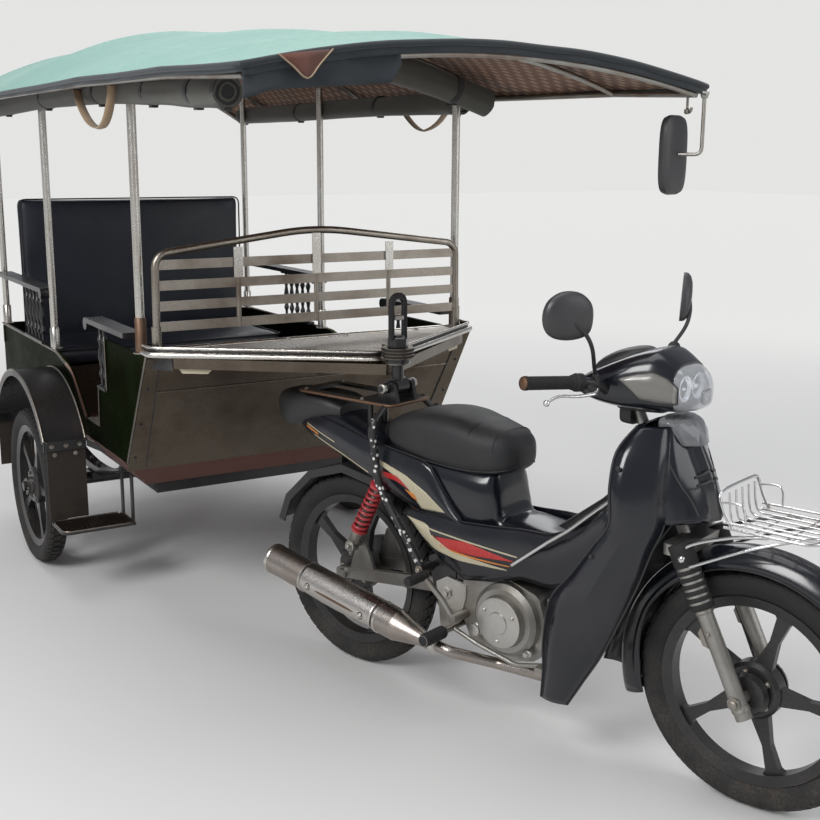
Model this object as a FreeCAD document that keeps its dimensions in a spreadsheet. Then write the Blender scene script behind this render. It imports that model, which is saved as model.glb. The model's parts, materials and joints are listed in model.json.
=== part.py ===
import FreeCAD, Part
import math
import os

V = FreeCAD.Vector
UP = V(0, 0, 1)
LEFT = V(0, 1, 0)

doc = FreeCAD.newDocument("AutoRickshaw")

# Driving dimensions in millimetres and degrees.
# Carriage heights are above the ground, and carriage lengths are ahead of its axle.
# Motorcycle lengths are ahead of its rear axle.
SIZES = (
    ("clear", 0.3),
    ("axle_x", -862),
    ("wheel_radius", 285),
    ("tyre_width", 76),
    ("rim_radius", 224),
    ("rim_wall", 24),
    ("rim_width", 50),
    ("spoke_count", 5),
    ("spoke_width", 30),
    ("spoke_thick", 20),
    ("drum_radius", 68),
    ("spindle_radius", 10),
    # carriage
    ("wheel_gap", 88),
    ("hub_half", 42),
    ("post_front_x", 979),
    ("post_mid_x", -35),
    ("post_rear_x", -809),
    ("post_inset", 14),
    ("post_radius", 13),
    ("tub_half", 560),
    ("tub_bevel", 75),
    ("tub_bottom_z", 450),
    ("tub_bevel_z", 540),
    ("tub_rear_x", -835),
    ("tub_wall", 12),
    ("sill_z", 600),
    ("side_top_z", 780),
    ("ledge_z", 735),
    ("deck_z", 919),
    ("deck_thick", 10),
    ("strip_drop", 2),
    ("deck_inset", 4),
    ("deck_corner_x", 1050),
    ("panel_foot_x", 766),
    ("rail_height", 60),
    ("rim_tube_radius", 9),
    ("hitch_x", 1514),
    ("hitch_z", 944),
    ("ring_radius", 44),
    ("ring_bore", 17),
    ("ring_height", 30),
    ("slat_back_z", 1226),
    ("slat_back_crown", 34),
    ("back_tube_radius", 11),
    ("slat_back_inset", 39),
    ("slat_height", 28),
    ("slat_thick", 5),
    ("eave_z", 1678),
    ("roof_overhang", 140),
    ("roof_thick", 10),
    ("roof_tube_radius", 8),
    ("roll_radius", 34),
    ("front_roll_radius", 42),
    ("seat_inset", 60),
    ("seat_top_z", 735),
    ("cushion_thick", 75),
    ("rear_seat_front_x", -290),
    ("front_seat_rear_x", 500),
    ("backrest_top_z", 1308),
    ("backrest_thick", 85),
    ("armrest_z", 960),
    ("rear_armrest_z", 1000),
    ("spindle_turn", 11),
    ("fender_radius", 430),
    ("fender_width", 145),
    ("fender_sheet", 4),
    ("step_z", 240),
    ("axle_beam_radius", 22),
    ("rail_inset", 130),
    ("rail_size", 36),
    ("mirror_z", 1482),
    # coupling and motorcycle
    ("bike_turn", 18.4),
    ("hitch_ahead", 146),
    ("bolt_z", 850),
    ("wheelbase", 1235),
    ("bike_tyre_width", 70),
    ("bike_hub_half", 40),
    ("caster", 26.3),
    ("fork_offset", 30),
    ("fork_half", 88),
    ("fork_radius", 19),
    ("carrier_z", 655),
    ("carrier_half", 95),
    ("carrier_reach", 155),
    ("carrier_height", 80),
    ("head_radius", 26),
    ("backbone_radius", 22),
    ("grip_radius", 15),
    ("bar_half", 335),
    ("grip_z", 990),
    ("clamp_z", 890),
    ("muffler_radius", 44),
    ("pivot_x", 400),
    ("pivot_z", 330),
    ("case_y", 88),
    ("stand_x", 470),
    ("stand_y", 94),
    ("stand_z", 206),
    ("stand_reach", 165),
    ("rack_z", 806),
    ("rack_half", 85),
    ("cowl_half", 118),
)

# Sizes that follow from others, so that the tub can grow with all that is fixed to it.
DERIVED = (
    ("track_half", "tub_half + wheel_gap"),
    ("fender_outer", "tub_half + fender_width"),
    ("post_y", "tub_half - post_inset"),
    ("tub_bottom_half", "tub_half - tub_bevel"),
    ("seat_half", "tub_half - seat_inset"),
    ("deck_half", "tub_half - deck_inset"),
    ("slat_back_half", "deck_half - slat_back_inset"),
    ("roof_half", "tub_half + roof_overhang"),
    ("rail_y", "tub_half - rail_inset"),
)

sheet = doc.addObject("Spreadsheet::Sheet", "Sizes")
rows = [(alias, str(value)) for alias, value in SIZES] + [(alias, "=" + formula) for alias, formula in DERIVED]
for row, (alias, content) in enumerate(rows, 1):
    sheet.set(f"A{row}", alias)
    sheet.set(f"B{row}", content)
    sheet.setAlias(f"B{row}", alias)
doc.recompute()


class Sizes:
    """The sheet's cells, read by their names."""

    def __getattr__(self, alias):
        return float(sheet.get(alias))


S = Sizes()
PIECES = []


# Frames of the two halves

def carriage_frame():
    return FreeCAD.Placement(V(S.axle_x, 0, 0), FreeCAD.Rotation())


def bike_frame():
    turn = FreeCAD.Rotation(UP, S.bike_turn)
    post = V(S.axle_x + S.hitch_x, 0, 0)
    return FreeCAD.Placement(post - turn.multVec(V(S.hitch_ahead, 0, 0)), turn)


# Shape makers

def box(corner, opposite):
    """Block between two opposite corners."""
    low = [min(a, b) for a, b in zip(corner, opposite)]
    high = [max(a, b) for a, b in zip(corner, opposite)]
    return Part.makeBox(*[b - a for a, b in zip(low, high)], V(*low))


def rod(start, end, radius):
    run = V(*end) - V(*start)
    return Part.makeCylinder(radius, run.Length, V(*start), run)


def path(points, bend=0, closed=False):
    """Straight runs joined by tangent arcs of one radius, or of one radius for each point."""
    spots = [V(*p) for p in points]
    count = len(spots)
    radii = list(bend) if isinstance(bend, (list, tuple)) else [bend] * count
    arrive = list(spots)
    leave = list(spots)
    arcs = [None] * count
    for i in range(count):
        if radii[i] <= 0 or (not closed and i in (0, count - 1)):
            continue
        back = (spots[i - 1] - spots[i]).normalize()
        on = (spots[(i + 1) % count] - spots[i]).normalize()
        half = back.getAngle(on) / 2
        if half > math.pi / 2 - 1e-4:
            continue
        middle = (back + on).normalize()
        arrive[i] = spots[i] + back * (radii[i] / math.tan(half))
        leave[i] = spots[i] + on * (radii[i] / math.tan(half))
        crown = spots[i] + middle * (radii[i] / math.sin(half) - radii[i])
        arcs[i] = Part.Arc(arrive[i], crown, leave[i]).toShape()
    edges = []
    for i in range(count):
        if arcs[i]:
            edges.append(arcs[i])
        follow = (i + 1) % count
        if (closed or follow) and (arrive[follow] - leave[i]).Length > 1e-6:
            edges.append(Part.LineSegment(leave[i], arrive[follow]).toShape())
    return Part.Wire(edges)


def tube(points, radius, bend=0, closed=False):
    """Solid rod along a bent path."""
    wire = path(points, bend, closed)
    first = wire.Edges[0]
    start = first.Vertexes[0].Point
    circle = Part.Wire(Part.makeCircle(radius, start, first.tangentAt(first.FirstParameter)))
    return wire.makePipeShell([circle], True, False)


def plate_y(outline, y_low, y_high, bend=0):
    """Plate between two upright planes along the vehicle, from an outline of x and z."""
    wire = path([(x, y_low, z) for x, z in outline], bend, True)
    return Part.Face(wire).extrude(V(0, y_high - y_low, 0))


def plate_z(outline, z_low, z_high, bend=0):
    """Level plate from an outline of x and y."""
    wire = path([(x, y, z_low) for x, y in outline], bend, True)
    return Part.Face(wire).extrude(V(0, 0, z_high - z_low))


def plate_x(outline, x_low, x_high, bend=0):
    """Plate across the vehicle from an outline of y and z."""
    wire = path([(x_low, y, z) for y, z in outline], bend, True)
    return Part.Face(wire).extrude(V(x_high - x_low, 0, 0))


def turned(base, axis, profile):
    """Solid turned about an axis, from rows of distance along it and radius."""
    ends = [(profile[0][0], 0)] + list(profile) + [(profile[-1][0], 0)]
    wire = Part.makePolygon([V(radius, 0, along) for along, radius in ends] + [V(0, 0, profile[0][0])])
    solid = Part.Face(wire).revolve(V(0, 0, 0), UP, 360)
    solid.Placement = FreeCAD.Placement(V(*base), FreeCAD.Rotation(UP, V(*axis)))
    return solid


def mirrored(shape):
    return shape.mirror(V(0, 0, 0), LEFT)


def fused(shapes):
    if len(shapes) == 1:
        return shapes[0]
    joined = shapes[0].multiFuse(list(shapes[1:]))
    merged = joined.removeSplitter()
    return merged if merged.isValid() else joined


def both_sides(shape):
    return Part.makeCompound([shape, mirrored(shape)])


def arch(x, half, low, crown):
    return Part.Arc(V(x, -half, low), V(x, 0, crown), V(x, half, low))


def piece(label, shape, frame):
    feature = doc.addObject("Part::Feature", label)
    feature.Shape = shape
    feature.Placement = frame
    PIECES.append(feature)
    return feature


# Wheels: a turned rim, five cast spokes and a drum hub; the tyre sits on the rim

def sketch_on(body, role, name):
    plane = [f for f in body.Origin.OriginFeatures if f.Role == role][0]
    sketch = body.newObject("Sketcher::SketchObject", name)
    sketch.AttachmentSupport = (plane, [""])
    sketch.MapMode = "FlatFace"
    return sketch


def draw(sketch, corners):
    for i, corner in enumerate(corners):
        follow = corners[(i + 1) % len(corners)]
        sketch.addGeometry(Part.LineSegment(V(*corner, 0), V(*follow, 0)), False)


def axis_of(body, role):
    return [f for f in body.Origin.OriginFeatures if f.Role == role][0]


def wheel(label, centre_x, centre_y, hub_half, tyre_width, frame):
    """Cast rim and tyre of one wheel, turning about a line across the vehicle."""
    centre = V(centre_x, centre_y, S.wheel_radius)
    place = frame.multiply(FreeCAD.Placement(centre, FreeCAD.Rotation()))
    rim = doc.addObject("PartDesign::Body", label + "_rim")
    ring = sketch_on(rim, "XY_Plane", label + "_rim_section")
    bed = S.rim_radius - 10
    inner = S.rim_radius - S.rim_wall
    half = S.rim_width / 2
    draw(ring, [(inner, -half + 6), (S.rim_radius, -half), (S.rim_radius, -half + 4), (bed, -half + 9),
                (bed, half - 9), (S.rim_radius, half - 4), (S.rim_radius, half), (inner, half - 6)])
    turn = rim.newObject("PartDesign::Revolution", label + "_ring")
    turn.Profile = ring
    turn.ReferenceAxis = (axis_of(rim, "Y_Axis"), [""])
    turn.Angle = 360
    hub = sketch_on(rim, "XY_Plane", label + "_hub_section")
    bore = S.spindle_radius + S.clear
    draw(hub, [(bore, -hub_half), (30, -hub_half), (34, -24), (S.drum_radius - 8, -22), (S.drum_radius, -14),
               (S.drum_radius, 20), (S.drum_radius - 10, 26), (30, 28), (28, hub_half), (bore, hub_half)])
    core = rim.newObject("PartDesign::Revolution", label + "_hub")
    core.Profile = hub
    core.ReferenceAxis = (axis_of(rim, "Y_Axis"), [""])
    core.Angle = 360
    arm = sketch_on(rim, "XZ_Plane", label + "_spoke_outline")
    root = S.drum_radius - 8
    tip = inner + 3
    middle = (root + tip) / 2
    wide = S.spoke_width
    draw(arm, [(root, -wide * 0.75), (middle, -wide * 0.35), (tip - 14, -wide * 0.55), (tip, -wide),
               (tip, wide), (tip - 14, wide * 0.55), (middle, wide * 0.35), (root, wide * 0.75)])
    spoke = rim.newObject("PartDesign::Pad", label + "_spoke")
    spoke.Profile = arm
    spoke.setExpression("Length", "Sizes.spoke_thick")
    spoke.Midplane = True
    doc.recompute()
    spokes = rim.newObject("PartDesign::PolarPattern", label + "_spokes")
    spokes.Originals = [spoke]
    spokes.Axis = (axis_of(rim, "Y_Axis"), [""])
    spokes.Angle = 360
    spokes.setExpression("Occurrences", "Sizes.spoke_count")
    rim.Tip = spokes
    rim.Placement = place

    tyre = doc.addObject("PartDesign::Body", label + "_tyre")
    section = sketch_on(tyre, "XY_Plane", label + "_tyre_section")
    bead = bed + S.clear
    bead_half = half - 9 - S.clear
    over = S.rim_radius + S.clear
    wide = tyre_width / 2
    outer = S.wheel_radius
    draw(section, [(bead, -bead_half), (over + 3, -half + 3), (over + 18, -wide * 0.93), (over + 30, -wide),
                   (outer - 14, -wide * 0.92), (outer - 4, -wide * 0.62), (outer, -wide * 0.2),
                   (outer, wide * 0.2), (outer - 4, wide * 0.62), (outer - 14, wide * 0.92),
                   (over + 30, wide), (over + 18, wide * 0.93), (over + 3, half - 3), (bead, bead_half)])
    round_ = tyre.newObject("PartDesign::Revolution", label + "_carcass")
    round_.Profile = section
    round_.ReferenceAxis = (axis_of(tyre, "Y_Axis"), [""])
    round_.Angle = 360
    tyre.Placement = place
    doc.recompute()
    PIECES.extend((rim, tyre))


def wheels():
    carriage = carriage_frame()
    bike = bike_frame()
    wheel("carriage_right", 0, -S.track_half, S.hub_half, S.tyre_width, carriage)
    wheel("carriage_left", 0, S.track_half, S.hub_half, S.tyre_width, carriage)
    wheel("rear", 0, 0, S.bike_hub_half, S.bike_tyre_width, bike)
    wheel("front", S.wheelbase, 0, S.bike_hub_half, S.bike_tyre_width, bike)


# Carriage running gear

def panel_x(z):
    """Outer face of the sloping front panel at a height."""
    slope = (S.deck_corner_x - S.panel_foot_x) / (S.deck_z - S.tub_bottom_z)
    return S.panel_foot_x + slope * (z - S.tub_bottom_z)


def rim_underside():
    """Height just below the tube round the deck."""
    return S.deck_z - S.deck_thick / 2 - S.rim_tube_radius - S.clear


def chassis_frame(frame):
    """Two rails under the floor, cross members, and the drawbar out to the coupling ring."""
    top = S.tub_bottom_z - S.clear
    low = top - S.rail_size
    wide = S.rail_size / 2
    rear = S.tub_rear_x + 20
    ahead = S.panel_foot_x - 10
    rails = [box((rear, side * S.rail_y - wide, low), (ahead, side * S.rail_y + wide, top)) for side in (-1, 1)]
    crosses = [box((x, -S.rail_y, low), (x + S.rail_size, S.rail_y, top))
               for x in (rear, -S.rail_size / 2 - 300, 300, ahead - S.rail_size)]
    arm_low = S.hitch_z - S.ring_height / 2
    under = rim_underside()
    heel = S.deck_corner_x - 4
    tip = S.hitch_x - S.ring_radius + 4
    arms = []
    for side in (-1, 1):
        arms.append(plate_z([(heel, side * (S.deck_half - 60)), (heel + 44, side * (S.deck_half - 60)),
                             (tip, side * 14), (tip, -side * 14), (tip - 60, -side * 14)], under - 30, under))
    ring = Part.makeCylinder(S.ring_radius, S.ring_height, V(S.hitch_x, 0, arm_low))
    neck = box((tip - 26, -14, under - 30), (tip, 14, S.hitch_z + S.ring_height / 2))
    bore = Part.makeCylinder(S.ring_bore, 200, V(S.hitch_x, 0, arm_low - 100))
    bar = fused(arms + [neck, ring]).cut(bore)
    piece("chassis_frame", fused(rails + crosses), frame)
    piece("drawbar", bar, frame)


def axle(frame):
    """Beam between the wheels with a spindle at each end, and the spring seats."""
    beam_half = S.track_half - S.hub_half - 6
    height = S.wheel_radius
    beam = rod((0, -beam_half, height), (0, beam_half, height), S.axle_beam_radius)
    reach = S.track_half + S.hub_half
    spindle = rod((0, -reach - 8, height), (0, reach + 8, height), S.spindle_radius)
    nuts = [rod((0, side * (reach + S.clear), height), (0, side * (reach + 12), height), 17) for side in (-1, 1)]
    seat_top = height + S.axle_beam_radius + 6
    seats = [box((-40, side * S.rail_y - 28, height), (40, side * S.rail_y + 28, seat_top)) for side in (-1, 1)]
    piece("axle", fused([beam, spindle] + nuts + seats), frame)


def leaf_springs(frame):
    """Leaf packs from the axle seats up to the rails, shorter leaves below."""
    seat = S.wheel_radius + S.axle_beam_radius + 6 + S.clear
    rail = S.tub_bottom_z - S.clear - S.rail_size
    eye = 360
    leaf = 7
    rise = rail - 16 - seat - 4 * leaf
    packs = []
    for rank, reach in enumerate((150, 220, 290, eye)):
        low = seat + rank * leaf
        tip = low + rise * (reach / eye) ** 2
        under = Part.Arc(V(-reach, 0, tip), V(0, 0, low), V(reach, 0, tip)).toShape()
        over = Part.Arc(V(reach, 0, tip + leaf), V(0, 0, low + leaf), V(-reach, 0, tip + leaf)).toShape()
        ends = [Part.LineSegment(V(reach, 0, tip), V(reach, 0, tip + leaf)).toShape(),
                Part.LineSegment(V(-reach, 0, tip + leaf), V(-reach, 0, tip)).toShape()]
        face = Part.Face(Part.Wire([under, ends[0], over, ends[1]]))
        packs.append(face.extrude(V(0, 40, 0)))
    eyes = [rod((side * eye, 0, rail - 14), (side * eye, 40, rail - 14), 12) for side in (-1, 1)]
    hangers = [box((side * eye - 12, 6, rail - 14), (side * eye + 12, 34, rail)) for side in (-1, 1)]
    spring = fused(packs + eyes + hangers)
    spring.translate(V(0, S.rail_y - 20, 0))
    piece("leaf_springs", both_sides(spring), frame)


# Tub

def floor_pan(frame):
    """Floor with bevelled lower edges, from the rear panel to the foot of the front panel."""
    wall = S.tub_wall
    rear = S.tub_rear_x + wall + S.clear
    ahead = S.panel_foot_x - wall * 1.2
    outline = [(-S.tub_half, S.tub_bevel_z), (-S.tub_bottom_half, S.tub_bottom_z), (S.tub_bottom_half, S.tub_bottom_z),
               (S.tub_half, S.tub_bevel_z), (S.tub_half - wall * 1.3, S.tub_bevel_z),
               (S.tub_bottom_half - wall * 0.5, S.tub_bottom_z + wall),
               (-S.tub_bottom_half + wall * 0.5, S.tub_bottom_z + wall), (-S.tub_half + wall * 1.3, S.tub_bevel_z)]
    pan = plate_x(outline, rear, ahead)
    piece("floor_pan", pan, frame)


def side_panels(frame):
    """Each side: rear quarter with a swept front edge, low sill at the entrance, front quarter."""
    wall = S.tub_wall
    rear = S.tub_rear_x + wall + S.clear
    low = S.tub_bevel_z + S.clear
    under = rim_underside()
    lean = wall * 1.25 + S.clear
    outline = [(rear, low), (panel_x(low) - lean, low), (panel_x(under) - lean, under), (S.post_front_x - 340, under),
               (S.post_front_x - 340, S.ledge_z), (S.post_front_x - 430, S.ledge_z),
               (S.post_front_x - 440, S.sill_z), (S.post_mid_x + 420, S.sill_z),
               (S.post_mid_x + 270, S.sill_z + 130), (S.post_mid_x + 60, S.side_top_z), (rear, S.side_top_z)]
    bends = [0, 0, 0, 0, 0, 6, 30, 40, 160, 0, 0]
    side = plate_y(outline, S.tub_half - wall, S.tub_half, bends)
    piece("side_panels", both_sides(side), frame)


def front_panel(frame):
    """Flat sheet that slopes forward from the floor to the deck, above its bottom rail."""
    wall = S.tub_wall
    rail_top = S.tub_bottom_z + S.rail_height
    under = rim_underside()
    lean = wall * 1.18

    def sloped(low, high, half_low, half_high, knee=None):
        points = [(-half_low, low)]
        rights = [(half_low, low)]
        if knee:
            points.append((-knee[0], knee[1]))
            rights.append((knee[0], knee[1]))
        points.append((-half_high, high))
        rights.append((half_high, high))
        outline = points + rights[::-1]
        face = Part.Face(Part.makePolygon([V(panel_x(z), y, z) for y, z in outline + outline[:1]]))
        return face.extrude(V(-lean, 0, 0))

    grow = (S.tub_half - S.tub_bottom_half) / (S.tub_bevel_z - S.tub_bottom_z)
    rail_half = S.tub_bottom_half + grow * S.rail_height
    rail = sloped(S.tub_bottom_z, rail_top, S.tub_bottom_half, rail_half)
    sheet_low = rail_top + S.clear
    sheet = sloped(sheet_low, under, rail_half + grow * S.clear, S.tub_half, (S.tub_half, S.tub_bevel_z))
    piece("front_rail", rail, frame)
    piece("front_panel", sheet, frame)


def rear_panel(frame):
    """Upright sheet behind the rear bench."""
    outline = [(-S.tub_half, S.tub_bevel_z), (-S.tub_bottom_half, S.tub_bottom_z), (S.tub_bottom_half, S.tub_bottom_z),
               (S.tub_half, S.tub_bevel_z), (S.tub_half, S.side_top_z), (-S.tub_half, S.side_top_z)]
    piece("rear_panel", plate_x(outline, S.tub_rear_x, S.tub_rear_x + S.tub_wall), frame)


# Bend radii of the tube round the deck, corner by corner
DECK_BENDS = (20, 35, 30, 30, 35, 20)


def deck_outline(inset):
    """Corners of the V-shaped deck, drawn in by the same distance on each of its edges."""
    back = S.post_front_x + 8
    corner = S.deck_corner_x
    side = S.deck_half
    apex = S.hitch_x - S.ring_radius - 34
    nose = 26
    slope = math.atan2(side - nose, apex - corner)
    corner -= inset * math.tan(slope / 2)
    nose -= inset * math.tan((math.pi / 2 - slope) / 2)
    side -= inset
    back += inset
    apex -= inset
    return [(back, -side), (corner, -side), (apex, -nose), (apex, nose), (corner, side), (back, side)]


def back_line():
    """Centre plane of the slatted back's frame."""
    return S.post_front_x + 34


def strip_edge():
    """Front edge of the lowered strip that the slatted back stands on."""
    return back_line() + S.back_tube_radius + 8


def front_deck(frame):
    """V-shaped tray over the drawbar, lowered under the slatted back, with a tube round its edge."""
    seat = S.rim_tube_radius + S.clear
    tray = plate_z(deck_outline(seat), S.deck_z - S.deck_thick, S.deck_z, [bend - seat for bend in DECK_BENDS])
    strip = box((S.post_front_x, -S.deck_half, S.deck_z - S.strip_drop), (strip_edge(), S.deck_half, S.deck_z + 1))
    tray = tray.cut(strip)
    piece("front_deck", tray, frame)
    corners = [(x, y, S.deck_z - S.deck_thick / 2) for x, y in deck_outline(0)]
    rim = tube(corners, S.rim_tube_radius, DECK_BENDS, True)
    piece("deck_rim", rim, frame)


def slatted_back(frame):
    """Bent tube frame that stands on the deck, with four flat slats."""
    x = back_line()
    foot = S.deck_z - S.strip_drop + S.clear
    radius = S.back_tube_radius
    half = S.slat_back_half
    shoulder = S.slat_back_z - 30
    hoop = tube([(x, -half, foot), (x, -half + 4, shoulder), (x, 0, S.slat_back_z + S.slat_back_crown),
                 (x, half - 4, shoulder), (x, half, foot)], radius, [0, 45, 900, 45, 0])
    slats = []
    pitch = (shoulder - foot - 40) / 4
    for rank in range(4):
        low = foot + 55 + rank * pitch
        slats.append(box((x - S.slat_thick / 2, -half, low), (x + S.slat_thick / 2, half, low + S.slat_height)))
    top_low = shoulder + 2
    struts = [rod((x, y, foot + 55), (x, y, top_low), 7) for y in (-half / 2, 0, half / 2)]
    sleeves = [rod((x, side * half, foot), (x, side * half, foot + 70), radius + 3) for side in (-1, 1)]
    piece("slatted_back", fused([hoop] + slats + struts + sleeves), frame)


# Posts and roof

# Stations of the roof along the carriage: x, part of the half width, drop of the eave, crown above the eave
ROOF = (
    (-1150, 0.95, 14, 200),
    (-809, 0.99, 0, 228),
    (100, 1.0, 0, 232),
    (979, 1.0, 3, 168),
    (1600, 0.97, 12, 118),
    (1985, 0.92, 22, 72),
)


def roof_arch(station, lowered):
    x, part, drop, crown = station
    low = S.eave_z - drop - lowered
    return arch(x, S.roof_half * part, low, low + crown)


def arch_height(station, y):
    """Height of the roof's outer arc above a distance from the centre line."""
    x, part, drop, crown = station
    half = S.roof_half * part
    radius = (half * half + crown * crown) / (2 * crown)
    return S.eave_z - drop + crown - radius + math.sqrt(radius * radius - y * y)


def canopy(frame):
    """Cloth roof as one arched shell."""
    wires = []
    for station in ROOF:
        outer = roof_arch(station, 0)
        inner = roof_arch(station, S.roof_thick)
        ends = [Part.LineSegment(outer.EndPoint, inner.EndPoint).toShape(),
                Part.LineSegment(inner.StartPoint, outer.StartPoint).toShape()]
        wires.append(Part.Wire([outer.toShape(), ends[0], inner.toShape(), ends[1]]))
    piece("canopy", Part.makeLoft(wires, True, True), frame)


def bow_lift():
    return S.roof_thick + S.roof_tube_radius * 1.35


def rail_point(station, side):
    """Centre of a roof rail where it meets a bow: side is -1, 0 for the crown, or 1."""
    x, part, drop, crown = station
    ends = {ROOF[0]: 22, ROOF[-1]: -22}
    low = S.eave_z - drop - bow_lift() - (5 if station in ends else 0)
    half = S.roof_half * part - 14
    rise = crown if side == 0 else arch_height(station, half) - (S.eave_z - drop)
    return V(x + ends.get(station, 0), side * half, low + rise)


def roof_frame(frame):
    """Arched bows under the cloth, tied by a rail on each side and one at the crown."""
    radius = S.roof_tube_radius
    bows = []
    for station in ROOF:
        bow = Part.Arc(*[rail_point(station, side) for side in (-1, 0, 1)])
        circle = Part.Wire(Part.makeCircle(radius, bow.StartPoint, bow.tangent(bow.FirstParameter)[0]))
        bows.append(Part.Wire(bow.toShape()).makePipeShell([circle], True, False))
    tubes = [tube([rail_point(station, side) for station in ROOF], radius) for side in (-1, 0, 1)]
    piece("roof_frame", fused(bows + tubes), frame)


def canopy_posts(frame):
    """Six upright tubes from the tub and deck to the roof bows."""
    posts = []
    feet = (
        (S.post_front_x - 20, rim_underside() + S.clear, ROOF[3]),
        (S.post_mid_x, S.side_top_z + S.clear, ROOF[2]),
        (S.post_rear_x, S.side_top_z + S.clear, ROOF[1]),
    )
    for x, foot, station in feet:
        top = arch_height(station, S.post_y) - S.roof_thick - 3.35 * S.roof_tube_radius
        for side in (-1, 1):
            post = rod((x, side * S.post_y, foot), (x, side * S.post_y, top), S.post_radius)
            sleeve = rod((x, side * S.post_y, foot), (x, side * S.post_y, foot + 75), S.post_radius + 3)
            posts.append(fused([post, sleeve]))
    piece("canopy_posts", Part.makeCompound(posts), frame)


def curtain_rolls(frame):
    """Rolled curtains: a long one at the right, a shorter one at the left, and the front one on its bow."""
    radius = S.roll_radius
    y = S.post_y + S.post_radius + radius + S.clear
    # stations of the long roll: x, part of its distance from the centre line, drop below the eave
    long_run = ((ROOF[1][0] - 120, 1.0, 22), (500, 1.0, 22), (ROOF[3][0], 1.0, 32), (ROOF[4][0], 0.985, 60), (1750, 0.97, 66))
    right = tube([(x, -y * part, S.eave_z - drop) for x, part, drop in long_run], radius, [0, 900, 900, 900, 0])
    left = tube([(ROOF[1][0] - 120, y, S.eave_z - 22), (500, y, S.eave_z - 22), (ROOF[3][0] - 50, y, S.eave_z - 32)],
                radius, [0, 900, 0])
    thick = S.front_roll_radius
    x = ROOF[3][0] + thick + 33
    slope = (ROOF[3][3] - ROOF[3][2] - ROOF[4][3] + ROOF[4][2]) / (ROOF[4][0] - ROOF[3][0])
    below = bow_lift() + S.roof_tube_radius + slope * (x - ROOF[3][0]) + thick + S.clear
    spots = [V(x, side * S.roof_half, arch_height(ROOF[3], side * S.roof_half) - below) for side in (-0.72, 0, 0.86)]
    bend = Part.Arc(*spots)
    circle = Part.Wire(Part.makeCircle(thick, bend.StartPoint, bend.tangent(bend.FirstParameter)[0]))
    front = Part.Wire(bend.toShape()).makePipeShell([circle], True, False)
    piece("curtain_rolls", Part.makeCompound([right, left, front]), frame)


# Seats

def cushion(label, low, high, round_edge, frame):
    block = box(low, high)
    soft = block.makeFillet(round_edge, block.Edges)
    return piece(label, soft, frame)


def benches(frame):
    """Rear and front benches that face each other, each a box with a cushion."""
    floor = S.tub_bottom_z + S.tub_wall + S.clear
    base_top = S.seat_top_z - S.cushion_thick
    rear = S.tub_rear_x + S.tub_wall + S.clear
    half = S.tub_bottom_half - 10
    rear_box = box((rear, -half, floor), (S.rear_seat_front_x - 20, half, base_top))
    piece("rear_bench_box", rear_box, frame)
    back_front = rear + S.backrest_thick
    cushion("rear_seat_cushion", (back_front + 4, -S.seat_half, base_top + S.clear),
            (S.rear_seat_front_x, S.seat_half, S.seat_top_z), 18, frame)
    cushion("rear_backrest", (rear, -S.seat_half, base_top + 4),
            (back_front, S.seat_half, S.backrest_top_z), 24, frame)
    lean = S.tub_wall * 1.18 + 3
    outline = [(S.front_seat_rear_x + 40, floor), (panel_x(floor) - lean, floor),
               (panel_x(base_top) - lean, base_top), (S.front_seat_rear_x + 40, base_top)]
    front_box = plate_y(outline, -half, half)
    piece("front_bench_box", front_box, frame)
    cushion("front_seat_cushion", (S.front_seat_rear_x, -S.seat_half, base_top + S.clear),
            (panel_x(base_top) - lean - 20, S.seat_half, S.seat_top_z), 18, frame)


def spindle_panel(x_low, x_high, y, z_low, z_high, count):
    """Row of turned spindles between two rails."""
    thick = 10
    pieces = [box((x_low, y - 14, z_low), (x_high, y + 14, z_low + thick)),
              box((x_low, y - 14, z_high - thick), (x_high, y + 14, z_high))]
    span = z_high - z_low - 2 * thick
    big = S.spindle_turn
    small = big * 0.5
    profile = [(-1, small), (span * 0.12, small), (span * 0.2, big), (span * 0.3, small), (span * 0.5, big),
               (span * 0.7, small), (span * 0.8, big), (span * 0.88, small), (span + 1, small)]
    step = (x_high - x_low) / count
    for rank in range(count):
        pieces.append(turned((x_low + step * (rank + 0.5), y, z_low + thick), (0, 0, 1), profile))
    return pieces


def armrests(frame):
    """Four armrests: a board that ends in a scroll, on a row of turned spindles."""
    y = S.tub_half - 6
    board = 16
    arms = []
    # board start and end, its top, height of the panel foot, spindle row start and end, scroll end
    rows = (
        (S.post_rear_x + 30, S.post_mid_x - 40, S.rear_armrest_z, S.side_top_z, -420, -150, 1),
        (S.post_front_x - 475, S.post_front_x - 75, S.armrest_z, S.deck_z, 0, 0, -1),
    )
    for start, end, top, foot, row_low, row_high, scroll in rows:
        nose = end if scroll > 0 else start
        plate = box((start, y - 30, top - board), (end, y + 30, top))
        curl = rod((nose, y - 30, top - board - 4), (nose, y + 30, top - board - 4), board + 4)
        parts = [plate, curl]
        if row_high > row_low:
            parts += spindle_panel(row_low, row_high, y, foot + S.clear, top - board + 1, 5)
        else:
            x_low = S.post_front_x - 426
            x_high = S.post_front_x - 341
            parts += spindle_panel(x_low, x_high, y, S.ledge_z + S.clear, top - board + 1, 2)
        arms.append(fused(parts))
    piece("armrests", Part.makeCompound(arms + [mirrored(arm) for arm in arms]), frame)


# Fenders, flaps and steps

def fender_point(radius, degrees):
    angle = math.radians(degrees)
    return (radius * math.cos(angle), S.wheel_radius + radius * math.sin(angle))


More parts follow.
